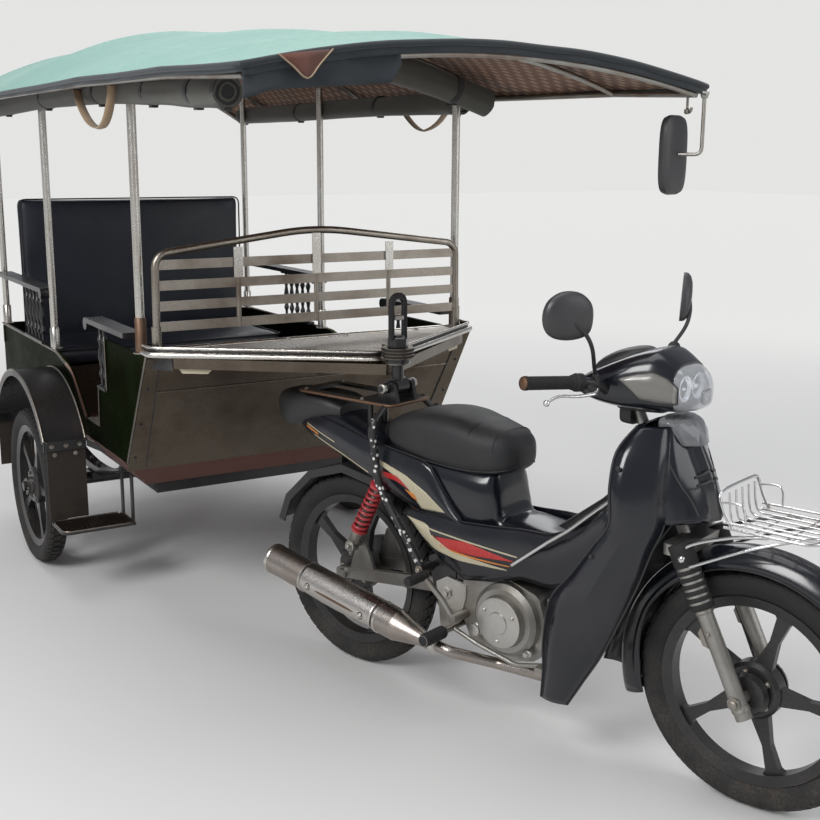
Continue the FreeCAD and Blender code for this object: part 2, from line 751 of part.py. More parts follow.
def fenders(frame):
    """Arched sheet over each wheel with a rolled outer lip and a bracket across each end."""
    start, end = 34, 152
    inner_y = S.tub_half + S.clear
    sides = []

    def band(radius, depth, y_low, y_high):
        outer = [V(x, y_low, z) for x, z in (fender_point(radius, a) for a in (start, (start + end) / 2, end))]
        inner = [V(x, y_low, z) for x, z in (fender_point(radius - depth, a) for a in (start, (start + end) / 2, end))]
        wire = Part.Wire([Part.Arc(*outer).toShape(), Part.LineSegment(outer[2], inner[2]).toShape(),
                          Part.Arc(*inner[::-1]).toShape(), Part.LineSegment(inner[0], outer[0]).toShape()])
        return Part.Face(wire).extrude(V(0, y_high - y_low, 0))

    crown = band(S.fender_radius, S.fender_sheet, inner_y, S.fender_outer)
    lip = band(S.fender_radius, 22, S.fender_outer - S.fender_sheet, S.fender_outer)
    x, z = fender_point(S.fender_radius - 2, start)
    strap = box((x - 2, inner_y, z - 34), (x + 4, S.fender_outer, z + 2))
    x_back, z_back = fender_point(S.fender_radius - 2, end)
    strap_back = box((x_back - 4, inner_y, z_back - 34), (x_back + 2, S.fender_outer, z_back + 2))
    sides.append(fused([crown, lip, strap, strap_back]))
    piece("fenders", both_sides(sides[0]), frame)
    return x, z, x_back, z_back


def mud_flaps(frame, ends):
    """Rubber flaps that hang from the fenders' straps."""
    x, z, x_back, z_back = ends
    inner = S.tub_half + 6
    outer = S.fender_outer - 8
    ahead = box((x + 4 + S.clear, inner, S.step_z + 12), (x + 9 + S.clear, outer, z - 2))
    behind = box((x_back - 9 - S.clear, inner, S.step_z + 40), (x_back - 4 - S.clear, outer, z_back - 2))
    piece("mud_flaps", Part.makeCompound([ahead, behind, mirrored(ahead), mirrored(behind)]), frame)


def side_steps(frame, ends):
    """Step plate in front of each wheel, hung from the chassis rail on two straps."""
    x = ends[0] + 4 + 9
    rail_low = S.tub_bottom_z - S.clear - S.rail_size
    inner = S.rail_y + S.rail_size / 2 + S.clear
    plate = plate_z([(x, inner), (x + 150, inner), (x + 150, S.fender_outer - 10), (x, S.fender_outer - 10)],
                    S.step_z, S.step_z + 8, [0, 0, 30, 8])
    legs = [box((x + along, inner, S.step_z), (x + along + 22, inner + 6, rail_low + 30)) for along in (8, 118)]
    piece("side_steps", both_sides(fused([plate] + legs)), frame)


def roof_mirror(frame):
    """Driver's mirror on a rod hung from the roof's front corner, with a coat hook beside it."""
    corner = rail_point(ROOF[-1], 1)
    x = corner.x - 26
    y = corner.y
    top = corner.z - S.roof_tube_radius - S.clear
    stem = tube([(x + 20, y, top - 1), (x + 20, y, S.mirror_z), (x - 30, y - 34, S.mirror_z)], 5, 8)
    glass = [(-52, -105), (52, -105), (60, -60), (60, 70), (44, 105), (-44, 105), (-60, 70), (-60, -60)]
    head = Part.Face(path([(0, a, b) for a, b in glass], 14, True)).extrude(V(26, 0, 0))
    head.Placement = FreeCAD.Placement(V(x - 42, y - 52, S.mirror_z), FreeCAD.Rotation(UP, 30))
    plate = box((x - 40, y - 12, top - 6), (x + 26, y + 10, top))
    hook = rod((x - 34, y, top - 6), (x - 34, y, top - 42), 4)
    knob = Part.makeSphere(8, V(x - 34, y, top - 44))
    piece("roof_mirror", fused([stem, head, plate, hook, knob]), frame)


# Coupling

def coupling(frame):
    """Post through the drawbar's ring with washer, nut and shackle, above a yoke with a cross bolt."""
    x = S.hitch_ahead
    ring_low = S.hitch_z - S.ring_height / 2
    ring_top = ring_low + S.ring_height
    post = rod((x, 0, S.bolt_z), (x, 0, ring_top + 34), S.ring_bore - S.clear)
    washer = rod((x, 0, ring_low - 12), (x, 0, ring_low - S.clear), S.ring_radius - 10)
    nut_points = [(x + 30 * math.cos(math.radians(60 * k)), 30 * math.sin(math.radians(60 * k))) for k in range(6)]
    nut = plate_z(nut_points, ring_top + S.clear, ring_top + 24)
    eye = rod((x, -24, S.bolt_z), (x, 24, S.bolt_z), 24)
    loop_foot = ring_top + 20
    loop = tube([(x, -23, loop_foot), (x, -23, loop_foot + 118), (x, 23, loop_foot + 118), (x, 23, loop_foot)], 6, 22.9)
    bore = rod((x, -60, S.bolt_z), (x, 60, S.bolt_z), 8 + S.clear)
    piece("coupling_post", fused([post, washer, nut, eye, loop]).cut(bore), frame)


# Motorcycle

def rear_rack(frame):
    """Plate over the tail that carries the cross bolt, with a strut down each side to the frame."""
    x = S.hitch_ahead
    low = S.rack_z
    half = S.rack_half
    plate = plate_z([(-165, -half), (196, -half), (196, half), (-165, half)], low, low + 8, 25)
    window = plate_z([(-130, -half + 25), (60, -half + 25), (60, half - 25), (-130, half - 25)], low - 1, low + 9, 10)
    pads = [rod((spot, side * 30, top), (spot, side * 30, low + 1), 9)
            for spot, top in ((-148, 771), (72, 733)) for side in (-1, 1)]
    ears = [plate_y([(x - 38, low), (x + 38, low), (x + 22, S.bolt_z + 16), (x - 22, S.bolt_z + 16)],
                    side * 38 - 6, side * 38 + 6, [0, 0, 20, 20]) for side in (-1, 1)]
    foot = S.cowl_half + 22
    end_x = S.pivot_x - 45
    end_z = S.pivot_z + 70
    struts = [tube([(170, side * (half - 8), low + 4), (170, side * foot, low - 50), (205, side * foot, 600),
                    (end_x, side * foot, end_z)], 9, [0, 30, 60, 0]) for side in (-1, 1)]
    bosses = [rod((end_x, side * (foot + 11), end_z), (end_x, side * (foot - 40), end_z), 14) for side in (-1, 1)]
    bolt = rod((x, -half + 10, S.bolt_z), (x, half - 10, S.bolt_z), 8)
    heads = [rod((x, side * 44, S.bolt_z), (x, side * 58, S.bolt_z), 15) for side in (-1, 1)]
    rack = fused([plate.cut(window)] + pads)
    for group in (ears, struts, bosses, [bolt], heads):
        rack = fused([rack] + group)
    piece("rear_rack", rack, frame)


def steering_line(z):
    """Point on the steering axis at a height, in the motorcycle's frame."""
    lean = math.tan(math.radians(S.caster))
    back = S.fork_offset / math.cos(math.radians(S.caster))
    return S.wheelbase - back - (z - S.wheel_radius) * lean


def leg_line(z):
    return S.wheelbase - (z - S.wheel_radius) * math.tan(math.radians(S.caster))


def on_axis(z):
    return (steering_line(z), 0, z)


SPINE_KNEE = (650, 0, 500)


def under_spine(x):
    """Height of the main tube's underside behind its knee."""
    slope = (SPINE_KNEE[2] - 440) / (SPINE_KNEE[0] - S.pivot_x - 30)
    return 440 + slope * (x - S.pivot_x - 30) - S.backbone_radius * math.hypot(1, slope)


def backbone(radius):
    """Main tube from the steering head down to the engine's rear hanger."""
    points = [(steering_line(760) - 10, 0, 760), (830, 0, 640), SPINE_KNEE, (S.pivot_x + 30, 0, 440)]
    return tube(points, radius, [0, 120, 150, 0])


def moto_frame(frame):
    """Pressed backbone from the steering head to the engine, with the pivot plates."""
    head_low, head_high = 690, 840
    head = rod(on_axis(head_low), on_axis(head_high), S.head_radius)
    spine = backbone(S.backbone_radius)
    plates = []
    for side in (-1, 1):
        plates.append(plate_y([(S.pivot_x - 75, S.pivot_z + 85), (S.pivot_x - 40, S.pivot_z - 50), (S.pivot_x + 25, S.pivot_z - 60),
                               (S.pivot_x + 20, S.pivot_z + 60), (S.pivot_x + 60, 460)], side * 74 - 3, side * 74 + 3, 12))
    ties = [rod((S.pivot_x - 45, -S.cowl_half + 18 + 1, S.pivot_z + 70), (S.pivot_x - 45, S.cowl_half - 18 - 1, S.pivot_z + 70), 9),
            rod((S.pivot_x + 30, -76, 440), (S.pivot_x + 30, 76, 440), 10)]
    bore = rod(on_axis(head_low - 60), on_axis(head_high + 60), 14 + S.clear)
    pivot_hole = rod((S.pivot_x, -100, S.pivot_z), (S.pivot_x, 100, S.pivot_z), 10 + S.clear)
    piece("moto_frame", fused([head, spine] + plates + ties).cut(bore).cut(pivot_hole), frame)


def swingarm(frame):
    """Two arms from the pivot to the rear axle, with the axle spindle and pivot shaft."""
    parts = []
    for side in (-1, 1):
        y = side * 62
        arm = plate_y([(-30, S.wheel_radius + 14), (S.pivot_x - 70, S.pivot_z + 20), (S.pivot_x + 16, S.pivot_z + 16),
                       (S.pivot_x + 16, S.pivot_z - 16), (S.pivot_x - 70, S.pivot_z - 18), (-30, S.wheel_radius - 18)],
                      y - 8, y + 8, [12, 60, 10, 10, 60, 12])
        parts.append(arm)
        parts.append(rod((66, y, 392), (66, side * 120, 392), 9))
        parts.append(plate_y([(20, S.wheel_radius + 8), (54, 404), (80, 400), (120, S.wheel_radius + 26)], y - 5, y + 5, 8))
    spindle = rod((0, -84, S.wheel_radius), (0, 84, S.wheel_radius), S.spindle_radius)
    nuts = [rod((0, side * 70, S.wheel_radius), (0, side * 82, S.wheel_radius), 15) for side in (-1, 1)]
    shaft = rod((S.pivot_x, -84, S.pivot_z), (S.pivot_x, 84, S.pivot_z), 10)
    stubs = [rod((x, 62, z), (x, S.case_y - S.clear, z), 8) for x, z in ((200, 313), (300, 328))]
    piece("swingarm", fused(parts + [spindle, shaft] + nuts + stubs), frame)


def rear_shocks(frame):
    """Spring and damper on each side, with the coils as turned rings."""
    low = V(66, 106, 392)
    high = V(196, 106, 640)
    run = high - low
    length = run.Length
    coils = 8
    profile = [(-14, 9), (30, 9), (30, 20), (length * 0.25, 20)]
    start = length * 0.25
    step = length * 0.58 / coils
    for rank in range(coils):
        at = start + step * rank
        profile += [(at + step * 0.1, 24), (at + step * 0.55, 24), (at + step * 0.65, 17), (at + step * 0.95, 17)]
    profile += [(length * 0.84, 24), (length * 0.88, 24), (length * 0.88, 10), (length + 12, 10)]
    shock = turned(tuple(low), tuple(run), profile)
    eye = rod((66, 94, 392), (66, 118, 392), 17)
    hole_low = rod((66, 60, 392), (66, 140, 392), 9 + S.clear)
    piece("rear_shocks", both_sides(fused([shock, eye]).cut(hole_low)), frame)


# Sections of the seat along the motorcycle: x, half width, underside, top of the side, crown
SEAT = (
    (204, 92, 716, 752, 780),
    (236, 106, 712, 772, 802),
    (340, 112, 700, 782, 820),
    (460, 106, 690, 768, 808),
    (590, 84, 672, 730, 764),
    (655, 52, 668, 700, 730),
)


def dome(x, half, low, side_top, crown):
    """Section with a flat foot, upright sides and an arched top."""
    points = [V(x, -half, side_top), V(x, -half, low), V(x, half, low), V(x, half, side_top)]
    lines = [Part.LineSegment(points[k], points[k + 1]).toShape() for k in range(3)]
    lines.append(Part.Arc(points[3], V(x, 0, crown), points[0]).toShape())
    return Part.Wire(lines)


def seat(frame):
    piece("seat", Part.makeLoft([dome(*row) for row in SEAT], True, True), frame)


# Sections of the body cowl: x, half width, underside, top of the side, crown
COWL = (
    (-225, 42, 690, 752, 776),
    (-60, 76, 668, 742, 762),
    (108, 92, 622, 712, 721),
    (190, 100, 585, 706, 715),
    (330, 116, 520, 690, 699),
    (460, 118, 468, 680, 689),
    (590, 100, 452, 662, 671),
    (655, 84, 462, 630, 640),
    (740, 74, 490, 572, 588),
    (840, 86, 520, 612, 630),
    (942, 102, 600, 700, 716),
)


COWL_WALL = 6


def body_cowls(frame):
    """Painted covers from the tail to the step-through, open below over the rear wheel."""
    outer = Part.makeLoft([dome(*row) for row in COWL], True, True)
    inner = Part.makeLoft([dome(x, half - COWL_WALL, low - 8, side_top - COWL_WALL, crown - COWL_WALL)
                           for x, half, low, side_top, crown in COWL], True, True)
    shell = outer.cut(inner)
    shock_room = [rod((66, side * 106, 392), (214, side * 106, 674), 28) for side in (-1, 1)]
    piece("body_cowls", shell.cut(fused([backbone(S.backbone_radius + 1)] + shock_room)), frame)


def engine(frame):
    """Crankcase with a round clutch cover, a forward-lying finned cylinder and the carrier lugs."""
    case = plate_y([(455, 400), (440, 300), (480, 215), (600, 190), (690, 215), (720, 300), (690, 390), (560, 425)],
                   -82, 82, 30)
    cover = turned((603, -82, 312), (0, -1, 0), [(-4, 96), (20, 96), (32, 84), (32, 70), (44, 66), (46, 0.1)])
    left_cover = turned((585, 82, 300), (0, 1, 0), [(-4, 88), (18, 88), (28, 76), (28, 0.1)])
    barrel_axis = V(1, 0, 0.12)
    barrel = turned((690, 0, 318), tuple(barrel_axis), [(0, 46), (20, 46)] + [
        point for k in range(6) for point in ((22 + k * 11, 58), (27 + k * 11, 58), (27.1 + k * 11, 48), (33 + k * 11, 48))
    ] + [(92, 52), (150, 52), (160, 40)])
    lug = plate_y([(515, 400), (515, under_spine(515) - S.clear), (545, under_spine(545) - S.clear), (545, 400)], -18, 18)
    piece("engine", fused([case, cover, left_cover, barrel, lug]), frame)


def exhaust(frame):
    """Silencer with its cone, and the header pipe under the engine to the cylinder head."""
    back = V(-182, -172, 314)
    ahead = V(300, -172, 236)
    run = ahead - back
    radius = S.muffler_radius
    length = run.Length
    can = turned(tuple(back), tuple(run), [(-8, radius - 12), (0, radius), (length, radius), (length + 6, radius - 2),
                                         (length + 92, 20), (length + 120, 19)])
    direction = V(run.x, run.y, run.z).normalize()
    neck = ahead + direction * 110
    pipe = tube([tuple(neck), (470, -160, 205), (560, -70, 168), (720, -58, 172), (800, -40, 230), (806.3, -19, 279.2)],
                15, [0, 40, 40, 50, 30, 0])
    piece("exhaust", fused([can, pipe]), frame)


# Sections of the shield over the steering head: height, half width and x at its edge, x at its ridge
HOOD = (
    (664, 190, 952, 1122),
    (745, 184, 955, 1098),
    (822, 152, 956, 1064),
    (877, 101, 962, 1040),
)
# Sections of a wing beside the engine: height, x and y of its rear edge, x and y of its front edge
WING = (
    (166, 752, 150, 826, 146),
    (330, 772, 172, 926, 162),
    (520, 850, 184, 1006, 152),
    (664, 948, 187, 1040, 120),
    (700, 948, 186, 1036, 120),
)


def leg_shield(frame):
    """Wide shield over the steering head, with a wing down each side of the engine."""
    wall = 7

    def band(z, half, edge_x, ridge_x):
        outer = [(edge_x, -half), (ridge_x - 16, -half * 0.3), (ridge_x, 0), (ridge_x - 16, half * 0.3), (edge_x, half)]
        inner = [(edge_x, half - wall * 1.5), (ridge_x - 16 - wall, half * 0.3 - 3), (ridge_x - wall, 0),
                 (ridge_x - 16 - wall, 3 - half * 0.3), (edge_x, wall * 1.5 - half)]
        points = [V(x, y, z) for x, y in outer + inner]
        return Part.makePolygon(points + points[:1])

    def back(z, half, edge_x, ridge_x):
        points = [V(edge_x - 6, -half, z), V(edge_x, -half, z), V(edge_x, half, z), V(edge_x - 6, half, z)]
        return Part.makePolygon(points + points[:1])

    def blade(z, rear_x, rear_y, front_x, front_y):
        points = [V(rear_x, -rear_y, z), V(front_x, -front_y, z), V(front_x, wall - front_y, z), V(rear_x, wall - rear_y, z)]
        return Part.makePolygon(points + points[:1])

    hood = Part.makeLoft([band(*row) for row in HOOD], True, True)
    wall_behind = Part.makeLoft([back(*row) for row in HOOD], True, True)
    wing = Part.makeLoft([blade(*row) for row in WING], True, True)
    stem_room = rod(on_axis(600), on_axis(960), S.head_radius + 3)
    shield = fused([hood, wall_behind, wing, mirrored(wing)])
    piece("leg_shield", shield.cut(stem_room).cut(backbone(S.backbone_radius + S.clear)), frame)


def fork(frame):
    """Two telescopic legs under one bridge, with the stem through the steering head."""
    top = 615
    parts = []
    for side in (-1, 1):
        y = side * S.fork_half
        parts.append(rod((leg_line(248), y, 248), (leg_line(500), y, 500), S.fork_radius))
        parts.append(rod((leg_line(485), y, 485), (leg_line(top), y, top), S.fork_radius + 7))
        parts.append(rod((leg_line(S.wheel_radius), side * (S.bike_hub_half + S.clear), S.wheel_radius),
                         (leg_line(S.wheel_radius), side * (S.fork_half + 24), S.wheel_radius), 14))
    bridge = plate_z([(leg_line(top) - 34, -S.fork_half - 22), (leg_line(top) + 22, -S.fork_half - 22),
                      (leg_line(top) + 22, S.fork_half + 22), (leg_line(top) - 34, S.fork_half + 22)], top - 22, top + 4, 14)
    stem = rod(on_axis(top - 10), on_axis(S.clamp_z), 14)
    spindle = rod((S.wheelbase, -S.fork_half, S.wheel_radius), (S.wheelbase, S.fork_half, S.wheel_radius), S.spindle_radius)
    piece("fork", fused(parts + [bridge, stem, spindle]), frame)


def handlebar(frame):
    """Bar under the headlight cover with grips, levers and mirror stems."""
    x = steering_line(915)
    z = 922
    half = S.bar_half
    bar = tube([(x - 80, -half, S.grip_z), (x - 20, -170, S.grip_z - 14), (x, -60, z), (x, 60, z), (x - 20, 170, S.grip_z - 14),
                (x - 80, half, S.grip_z)], 11, [0, 60, 40, 40, 60, 0])
    grips = []
    for side in (-1, 1):
        direction = V(-60, side * (half - 170), 14)
        start = V(x - 80, side * half, S.grip_z) - direction * 0.72
        grips.append(rod(tuple(start), (x - 80 - 2, side * (half + 6), S.grip_z), S.grip_radius))
        grips.append(tube([(x - 26, side * 190, S.grip_z - 14), (x + 22, side * 215, S.grip_z - 28), (x - 20, side * 300, S.grip_z - 24),
                           (x - 34, side * 322, S.grip_z - 44)], 5, [0, 14, 14, 0]))
    clamp = rod(on_axis(S.clamp_z + S.clear), on_axis(z + 6), 16)
    piece("handlebar", fused([bar, clamp] + grips), frame)


# Sections of the headlight cover: x, half width, underside, top of the side, crown
COVER = (
    (812, 120, 925, 960, 975),
    (880, 118, 908, 990, 1022),
    (960, 104, 904, 1000, 1040),
    (1030, 84, 906, 985, 1024),
)


def headlight_cover(frame):
    """Cover over the bar; the lenses close its front."""
    x = steering_line(915)
    outer = Part.makeLoft([dome(*row) for row in COVER], True, True)
    room = tube([(x - 80, -400, S.grip_z), (x - 20, -170, S.grip_z - 14), (x, -60, 922), (x, 60, 922), (x - 20, 170, S.grip_z - 14),
                 (x - 80, 400, S.grip_z)], 11 + S.clear, [0, 60, 40, 40, 60, 0])
    neck = rod(on_axis(840), on_axis(940), 18)
    piece("headlight_cover", outer.cut(fused([room, neck])), frame)


def headlight(frame):
    """Clear lamp that closes the cover's nose, with an indicator on each side."""
    x = COVER[-1][0] + S.clear
    nose = Part.makeLoft([dome(x, 82, 908, 983, 1020), dome(x + 34, 70, 911, 960, 994), dome(x + 52, 44, 916, 940, 962)], True, True)
    piece("headlight", nose, frame)


def front_fender(frame):
    """Long fender round the front wheel, carried between the fork legs."""
    radius = S.wheel_radius + 32
    hub = V(S.wheelbase, 0, S.wheel_radius)

    def section(degrees):
        half = 46
        angle = math.radians(degrees)
        out = V(math.cos(angle), 0, math.sin(angle))
        rows = [(-half - 2, -26), (-half, 0), (-24, 18), (24, 18), (half, 0), (half + 2, -26)]
        inner = [(y - (3 if y > 0 else -3), up - 3) for y, up in rows[::-1]]
        points = [hub + out * (radius + up) + V(0, y, 0) for y, up in rows + inner]
        return Part.makePolygon(points + points[:1])

    angles = (-2, 20, 45, 75, 105, 135, 165, 188)
    shell = Part.makeLoft([section(a) for a in angles], True, True)
    legs = fused([rod((leg_line(300), side * S.fork_half, 300), (leg_line(640), side * S.fork_half, 640), S.fork_radius + 7 + S.clear)
                  for side in (-1, 1)])
    ties = [box((leg_line(560) - 8, side * 44, 552), (leg_line(560) + 16, side * 65, 566)) for side in (-1, 1)]
    piece("front_fender", fused([shell] + ties).cut(legs), frame)


def wire_carrier(frame):
    """Small wire basket over the front fender, on rods to the fork legs."""
    low = S.carrier_z
    high = low + S.carrier_height
    half = S.carrier_half
    back_x = S.wheelbase - 99
    ahead_x = S.wheelbase + S.carrier_reach
    wires = []
    for z, grow in ((low, 0), (high, 8)):
        wires.append(tube([(back_x, -half - grow, z), (ahead_x + grow, -half - grow, z), (ahead_x + grow, half + grow, z),
                           (back_x, half + grow, z)], 4, [0, 30, 30, 0]))
    floor = [rod((back_x, side * half / 2, low), (ahead_x - 2, side * half / 2, low), 3) for side in (-1, 0, 1)]
    back = [rod((back_x + 2, -half - grow, z), (back_x + 2, half + grow, z), 4) for z, grow in ((low, 2), (high, 8))]
    posts = [rod((x, side * half, low), (x, side * half * 1.08, high), 3.5)
             for x in (back_x + 2, (back_x + ahead_x) / 2, ahead_x - 5) for side in (-1, 1)]
    stay_foot = low - 65
    stays = [rod((back_x + 10, side * (half - 3), low), (leg_line(stay_foot), side * (S.fork_half + 4), stay_foot), 5)
             for side in (-1, 1)]
    room = S.fork_radius + 7 + S.clear
    legs = fused([rod((leg_line(500), side * S.fork_half, 500), (leg_line(low + 5), side * S.fork_half, low + 5), room)
                  for side in (-1, 1)])
    piece("wire_carrier", fused(wires + floor + back + posts + stays).cut(legs), frame)


def bar_mirrors(frame):
    """Round-cornered mirrors on stems that rise from the bar."""
    x = steering_line(915)
    arms = []
    for side in (-1, 1):
        foot = (x - 16, side * 150, S.grip_z - 7.5)
        stem = tube([foot, (x - 30, side * 215, 1080), (x - 36, side * 225, 1120)], 5, [0, 20, 0])
        head = Part.Face(path([(0, a, b) for a, b in ((-62, -30), (-40, 38), (10, 52), (58, 22), (50, -34), (0, -50))],
                              [24] * 6, True)).extrude(V(18, 0, 0))
        head.Placement = FreeCAD.Placement(V(x - 44, side * 232, 1140), FreeCAD.Rotation(UP, side * 8))
        arms.append(fused([stem, head]))
    piece("bar_mirrors", Part.makeCompound(arms), frame)


def rear_fender(frame):
    """Black inner fender behind the rear wheel, down to its pointed flap."""
    radius = S.wheel_radius + 24
    hub = V(0, 0, S.wheel_radius)

    def section(degrees, half):
        angle = math.radians(degrees)
        out = V(math.cos(angle), 0, math.sin(angle))
        rows = [(-half, -14), (-half, 10), (half, 10), (half, -14)]
        inner = [(half - 4, -14), (half - 4, 6), (-half + 4, 6), (-half + 4, -14)]
        points = [hub + out * (radius + up) + V(0, y, 0) for y, up in rows + inner]
        return Part.makePolygon(points + points[:1])

    shell = Part.makeLoft([section(a, half) for a, half in ((66, 46), (95, 50), (120, 52), (145, 50), (162, 40))], True, True)
    # stay up to a bar between the inner faces of the cowl's sides
    x, half = COWL[1][:2]
    bar_z = COWL[1][2] + 22
    reach = half - COWL_WALL - 0.7
    stay = box((x - 2, -14, S.wheel_radius + radius - 3), (x + 2, 14, bar_z))
    bar = box((x - 2, -reach, bar_z - 10), (x + 2, reach, bar_z))
    piece("rear_fender", fused([shell, stay, bar]), frame)


def tail_lamp(frame):
    nose = Part.makeLoft([dome(COWL[0][0] - S.clear, 40, 692, 750, 772), dome(-252, 30, 700, 738, 756)], True, True)
    piece("tail_lamp", nose, frame)


def chain_case(frame):
    """Closed cover over the chain on the left side."""
    outline = [(-60, S.wheel_radius - 34), (-60, S.wheel_radius + 60), (60, S.wheel_radius + 84), (S.pivot_x + 20, S.pivot_z + 40),
               (S.pivot_x + 20, S.pivot_z - 50), (60, S.wheel_radius - 64)]
    case = plate_y(outline, S.case_y, S.case_y + 24, [40, 40, 40, 20, 20, 40])
    piece("chain_case", case, frame)


def foot_controls(frame):
    """Foot-rest bar under the engine with its pegs, the brake pedal on the right and the gear pedal on the left."""
    x = S.pivot_x + 40
    z = S.pivot_z - 80
    reach = S.cowl_half + 114
    bar = rod((x, -reach, z), (x, reach, z), 9)
    pegs = [rod((x, side * (reach - 82), z), (x, side * (reach + 4), z), 15) for side in (-1, 1)]
    lug = box((x, -60, z - 9), (x + 18.5, 60, z + 9))
    ear = plate_y([(x - 14, z + 12), (x + 14, z + 12), (S.stand_x + 16, S.stand_z - 6), (S.stand_x - 14, S.stand_z - 16)],
                  S.stand_y - 8, S.stand_y - S.clear, 8)
    bolt = rod((S.stand_x, S.stand_y - 4, S.stand_z), (S.stand_x, S.stand_y + 26, S.stand_z), 6)
    pedals = []
    # side of the motorcycle, distance from its centre line, length ahead of the bar, drop of the arm
    for side, y, ahead, drop in ((-1, 112, 295, 46), (1, 130, 270, 34)):
        pedals.append(tube([(x, side * y, z), (x + 80, side * y, z - drop / 2), (x + ahead - 90, side * y, z - drop),
                            (x + ahead, side * y, z - 22)], 6, [0, 60, 60, 0]))
        pedals.append(box((x + ahead - 8, side * (y - 12), z - 28), (x + ahead + 30, side * (y + 34), z - 16)))
    piece("foot_controls", fused([bar, lug, ear, bolt] + pegs + pedals), frame)


def kick_starter(frame):
    """Kick lever on its shaft behind the clutch cover, with the pedal turned out."""
    foot = V(462, 0, 288)
    head = V(384, 0, 396)
    shaft = rod((foot.x, -82 - S.clear, foot.z), (foot.x, -146, foot.z), 13)
    arm = tube([(foot.x, -138, foot.z), (foot.x - 30, -146, foot.z + 46), (head.x, -168, head.z)], 8, [0, 60, 0])
    pedal = rod((head.x, -156, head.z), (head.x, -232, head.z), 11)
    piece("kick_starter", fused([shaft, arm, pedal]), frame)


def cowl_rail(frame):
    """Thin bright rods that cross the step-through from the cowl's foot to the leg shield."""
    y = S.cowl_half + 12
    rail = tube([(632, 91.2, 476), (632, y, 470), (745, y, 560), (800, y, 600), (900, 105, 690)], 5, [0, 14, 40, 60, 0])
    piece("cowl_rail", both_sides(rail), frame)


def side_stand(frame):
    """Stand leg folded back along the left side, on its own pivot bolt."""
    x, y, z = S.stand_x, S.stand_y, S.stand_z
    eye = rod((x, y, z), (x, y + 20, z), 15)
    leg = tube([(x - 8, y + 10, z), (x - 50, y + 16, z), (x - S.stand_reach, y + 34, z + 12)], 8, [0, 20, 0])
    foot = rod((x - S.stand_reach, y + 26, z + 12), (x - S.stand_reach, y + 42, z + 12), 15)
    bore = rod((x, y - 10, z), (x, y + 40, z), 6 + S.clear)
    piece("side_stand", fused([leg, eye, foot]).cut(bore), frame)


def check_and_write():
    doc.recompute()
    for thing in doc.Objects:
        if "Invalid" in thing.State or "Error" in thing.State:
            raise RuntimeError(f"{thing.Name} is {thing.State}")
    os.makedirs("parts", exist_ok=True)
    faulty = [thing.Label for thing in PIECES
              if thing.Shape.isNull() or not thing.Shape.isValid() or not thing.Shape.Solids]
    if faulty:
        raise RuntimeError(f"no valid solid in {faulty}")
    for thing in PIECES:
        thing.Shape.exportStep(f"parts/{thing.Label}.step")


def main():
    carriage = carriage_frame()
    bike = bike_frame()
    wheels()
    chassis_frame(carriage)
    axle(carriage)
    leaf_springs(carriage)
    floor_pan(carriage)
    side_panels(carriage)
    front_panel(carriage)
    rear_panel(carriage)
    front_deck(carriage)
    slatted_back(carriage)
    canopy_posts(carriage)
    roof_frame(carriage)
    canopy(carriage)
    curtain_rolls(carriage)
    benches(carriage)
    armrests(carriage)
    ends = fenders(carriage)
    mud_flaps(carriage, ends)
    side_steps(carriage, ends)
    roof_mirror(carriage)
    coupling(bike)
    rear_rack(bike)
    moto_frame(bike)
    swingarm(bike)
    rear_shocks(bike)
    seat(bike)
    body_cowls(bike)
    engine(bike)
    exhaust(bike)
    leg_shield(bike)
    rear_fender(bike)
    tail_lamp(bike)
    chain_case(bike)
    foot_controls(bike)
    kick_starter(bike)
    cowl_rail(bike)
    side_stand(bike)
    fork(bike)
    handlebar(bike)
    headlight_cover(bike)
    headlight(bike)
    front_fender(bike)
    wire_carrier(bike)
    bar_mirrors(bike)
    check_and_write()


main()
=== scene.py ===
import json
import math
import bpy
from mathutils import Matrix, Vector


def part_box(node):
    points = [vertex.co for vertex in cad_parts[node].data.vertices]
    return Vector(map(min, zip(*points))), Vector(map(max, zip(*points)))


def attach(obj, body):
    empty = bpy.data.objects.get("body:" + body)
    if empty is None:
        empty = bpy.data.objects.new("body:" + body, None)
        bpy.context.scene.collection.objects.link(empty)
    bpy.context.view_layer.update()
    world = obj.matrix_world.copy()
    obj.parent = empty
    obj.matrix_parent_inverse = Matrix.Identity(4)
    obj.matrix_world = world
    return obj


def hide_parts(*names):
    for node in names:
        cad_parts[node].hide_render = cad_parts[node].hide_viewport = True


bl_info = {
    "name": "Auto Rickshaw",
    "version": (1, 0, 0),
    "blender": (4, 5, 0),
    "location": "3D View > Sidebar > Rickshaw",
    "description": "Dresses a motorcycle and its hinged passenger carriage",
    "category": "Add Mesh",
}

import bmesh
import bpy
from mathutils import Matrix, Vector, noise

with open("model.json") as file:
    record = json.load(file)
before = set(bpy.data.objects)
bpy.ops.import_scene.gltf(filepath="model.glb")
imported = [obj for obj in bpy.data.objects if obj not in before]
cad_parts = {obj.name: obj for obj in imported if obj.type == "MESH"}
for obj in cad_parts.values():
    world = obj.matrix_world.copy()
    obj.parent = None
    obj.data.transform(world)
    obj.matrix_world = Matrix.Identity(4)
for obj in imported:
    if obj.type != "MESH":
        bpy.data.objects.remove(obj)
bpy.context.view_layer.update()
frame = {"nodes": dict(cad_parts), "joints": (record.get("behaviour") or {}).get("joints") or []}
NODES = frame["nodes"]
JOINTS = {joint["name"]: joint for joint in frame["joints"]}

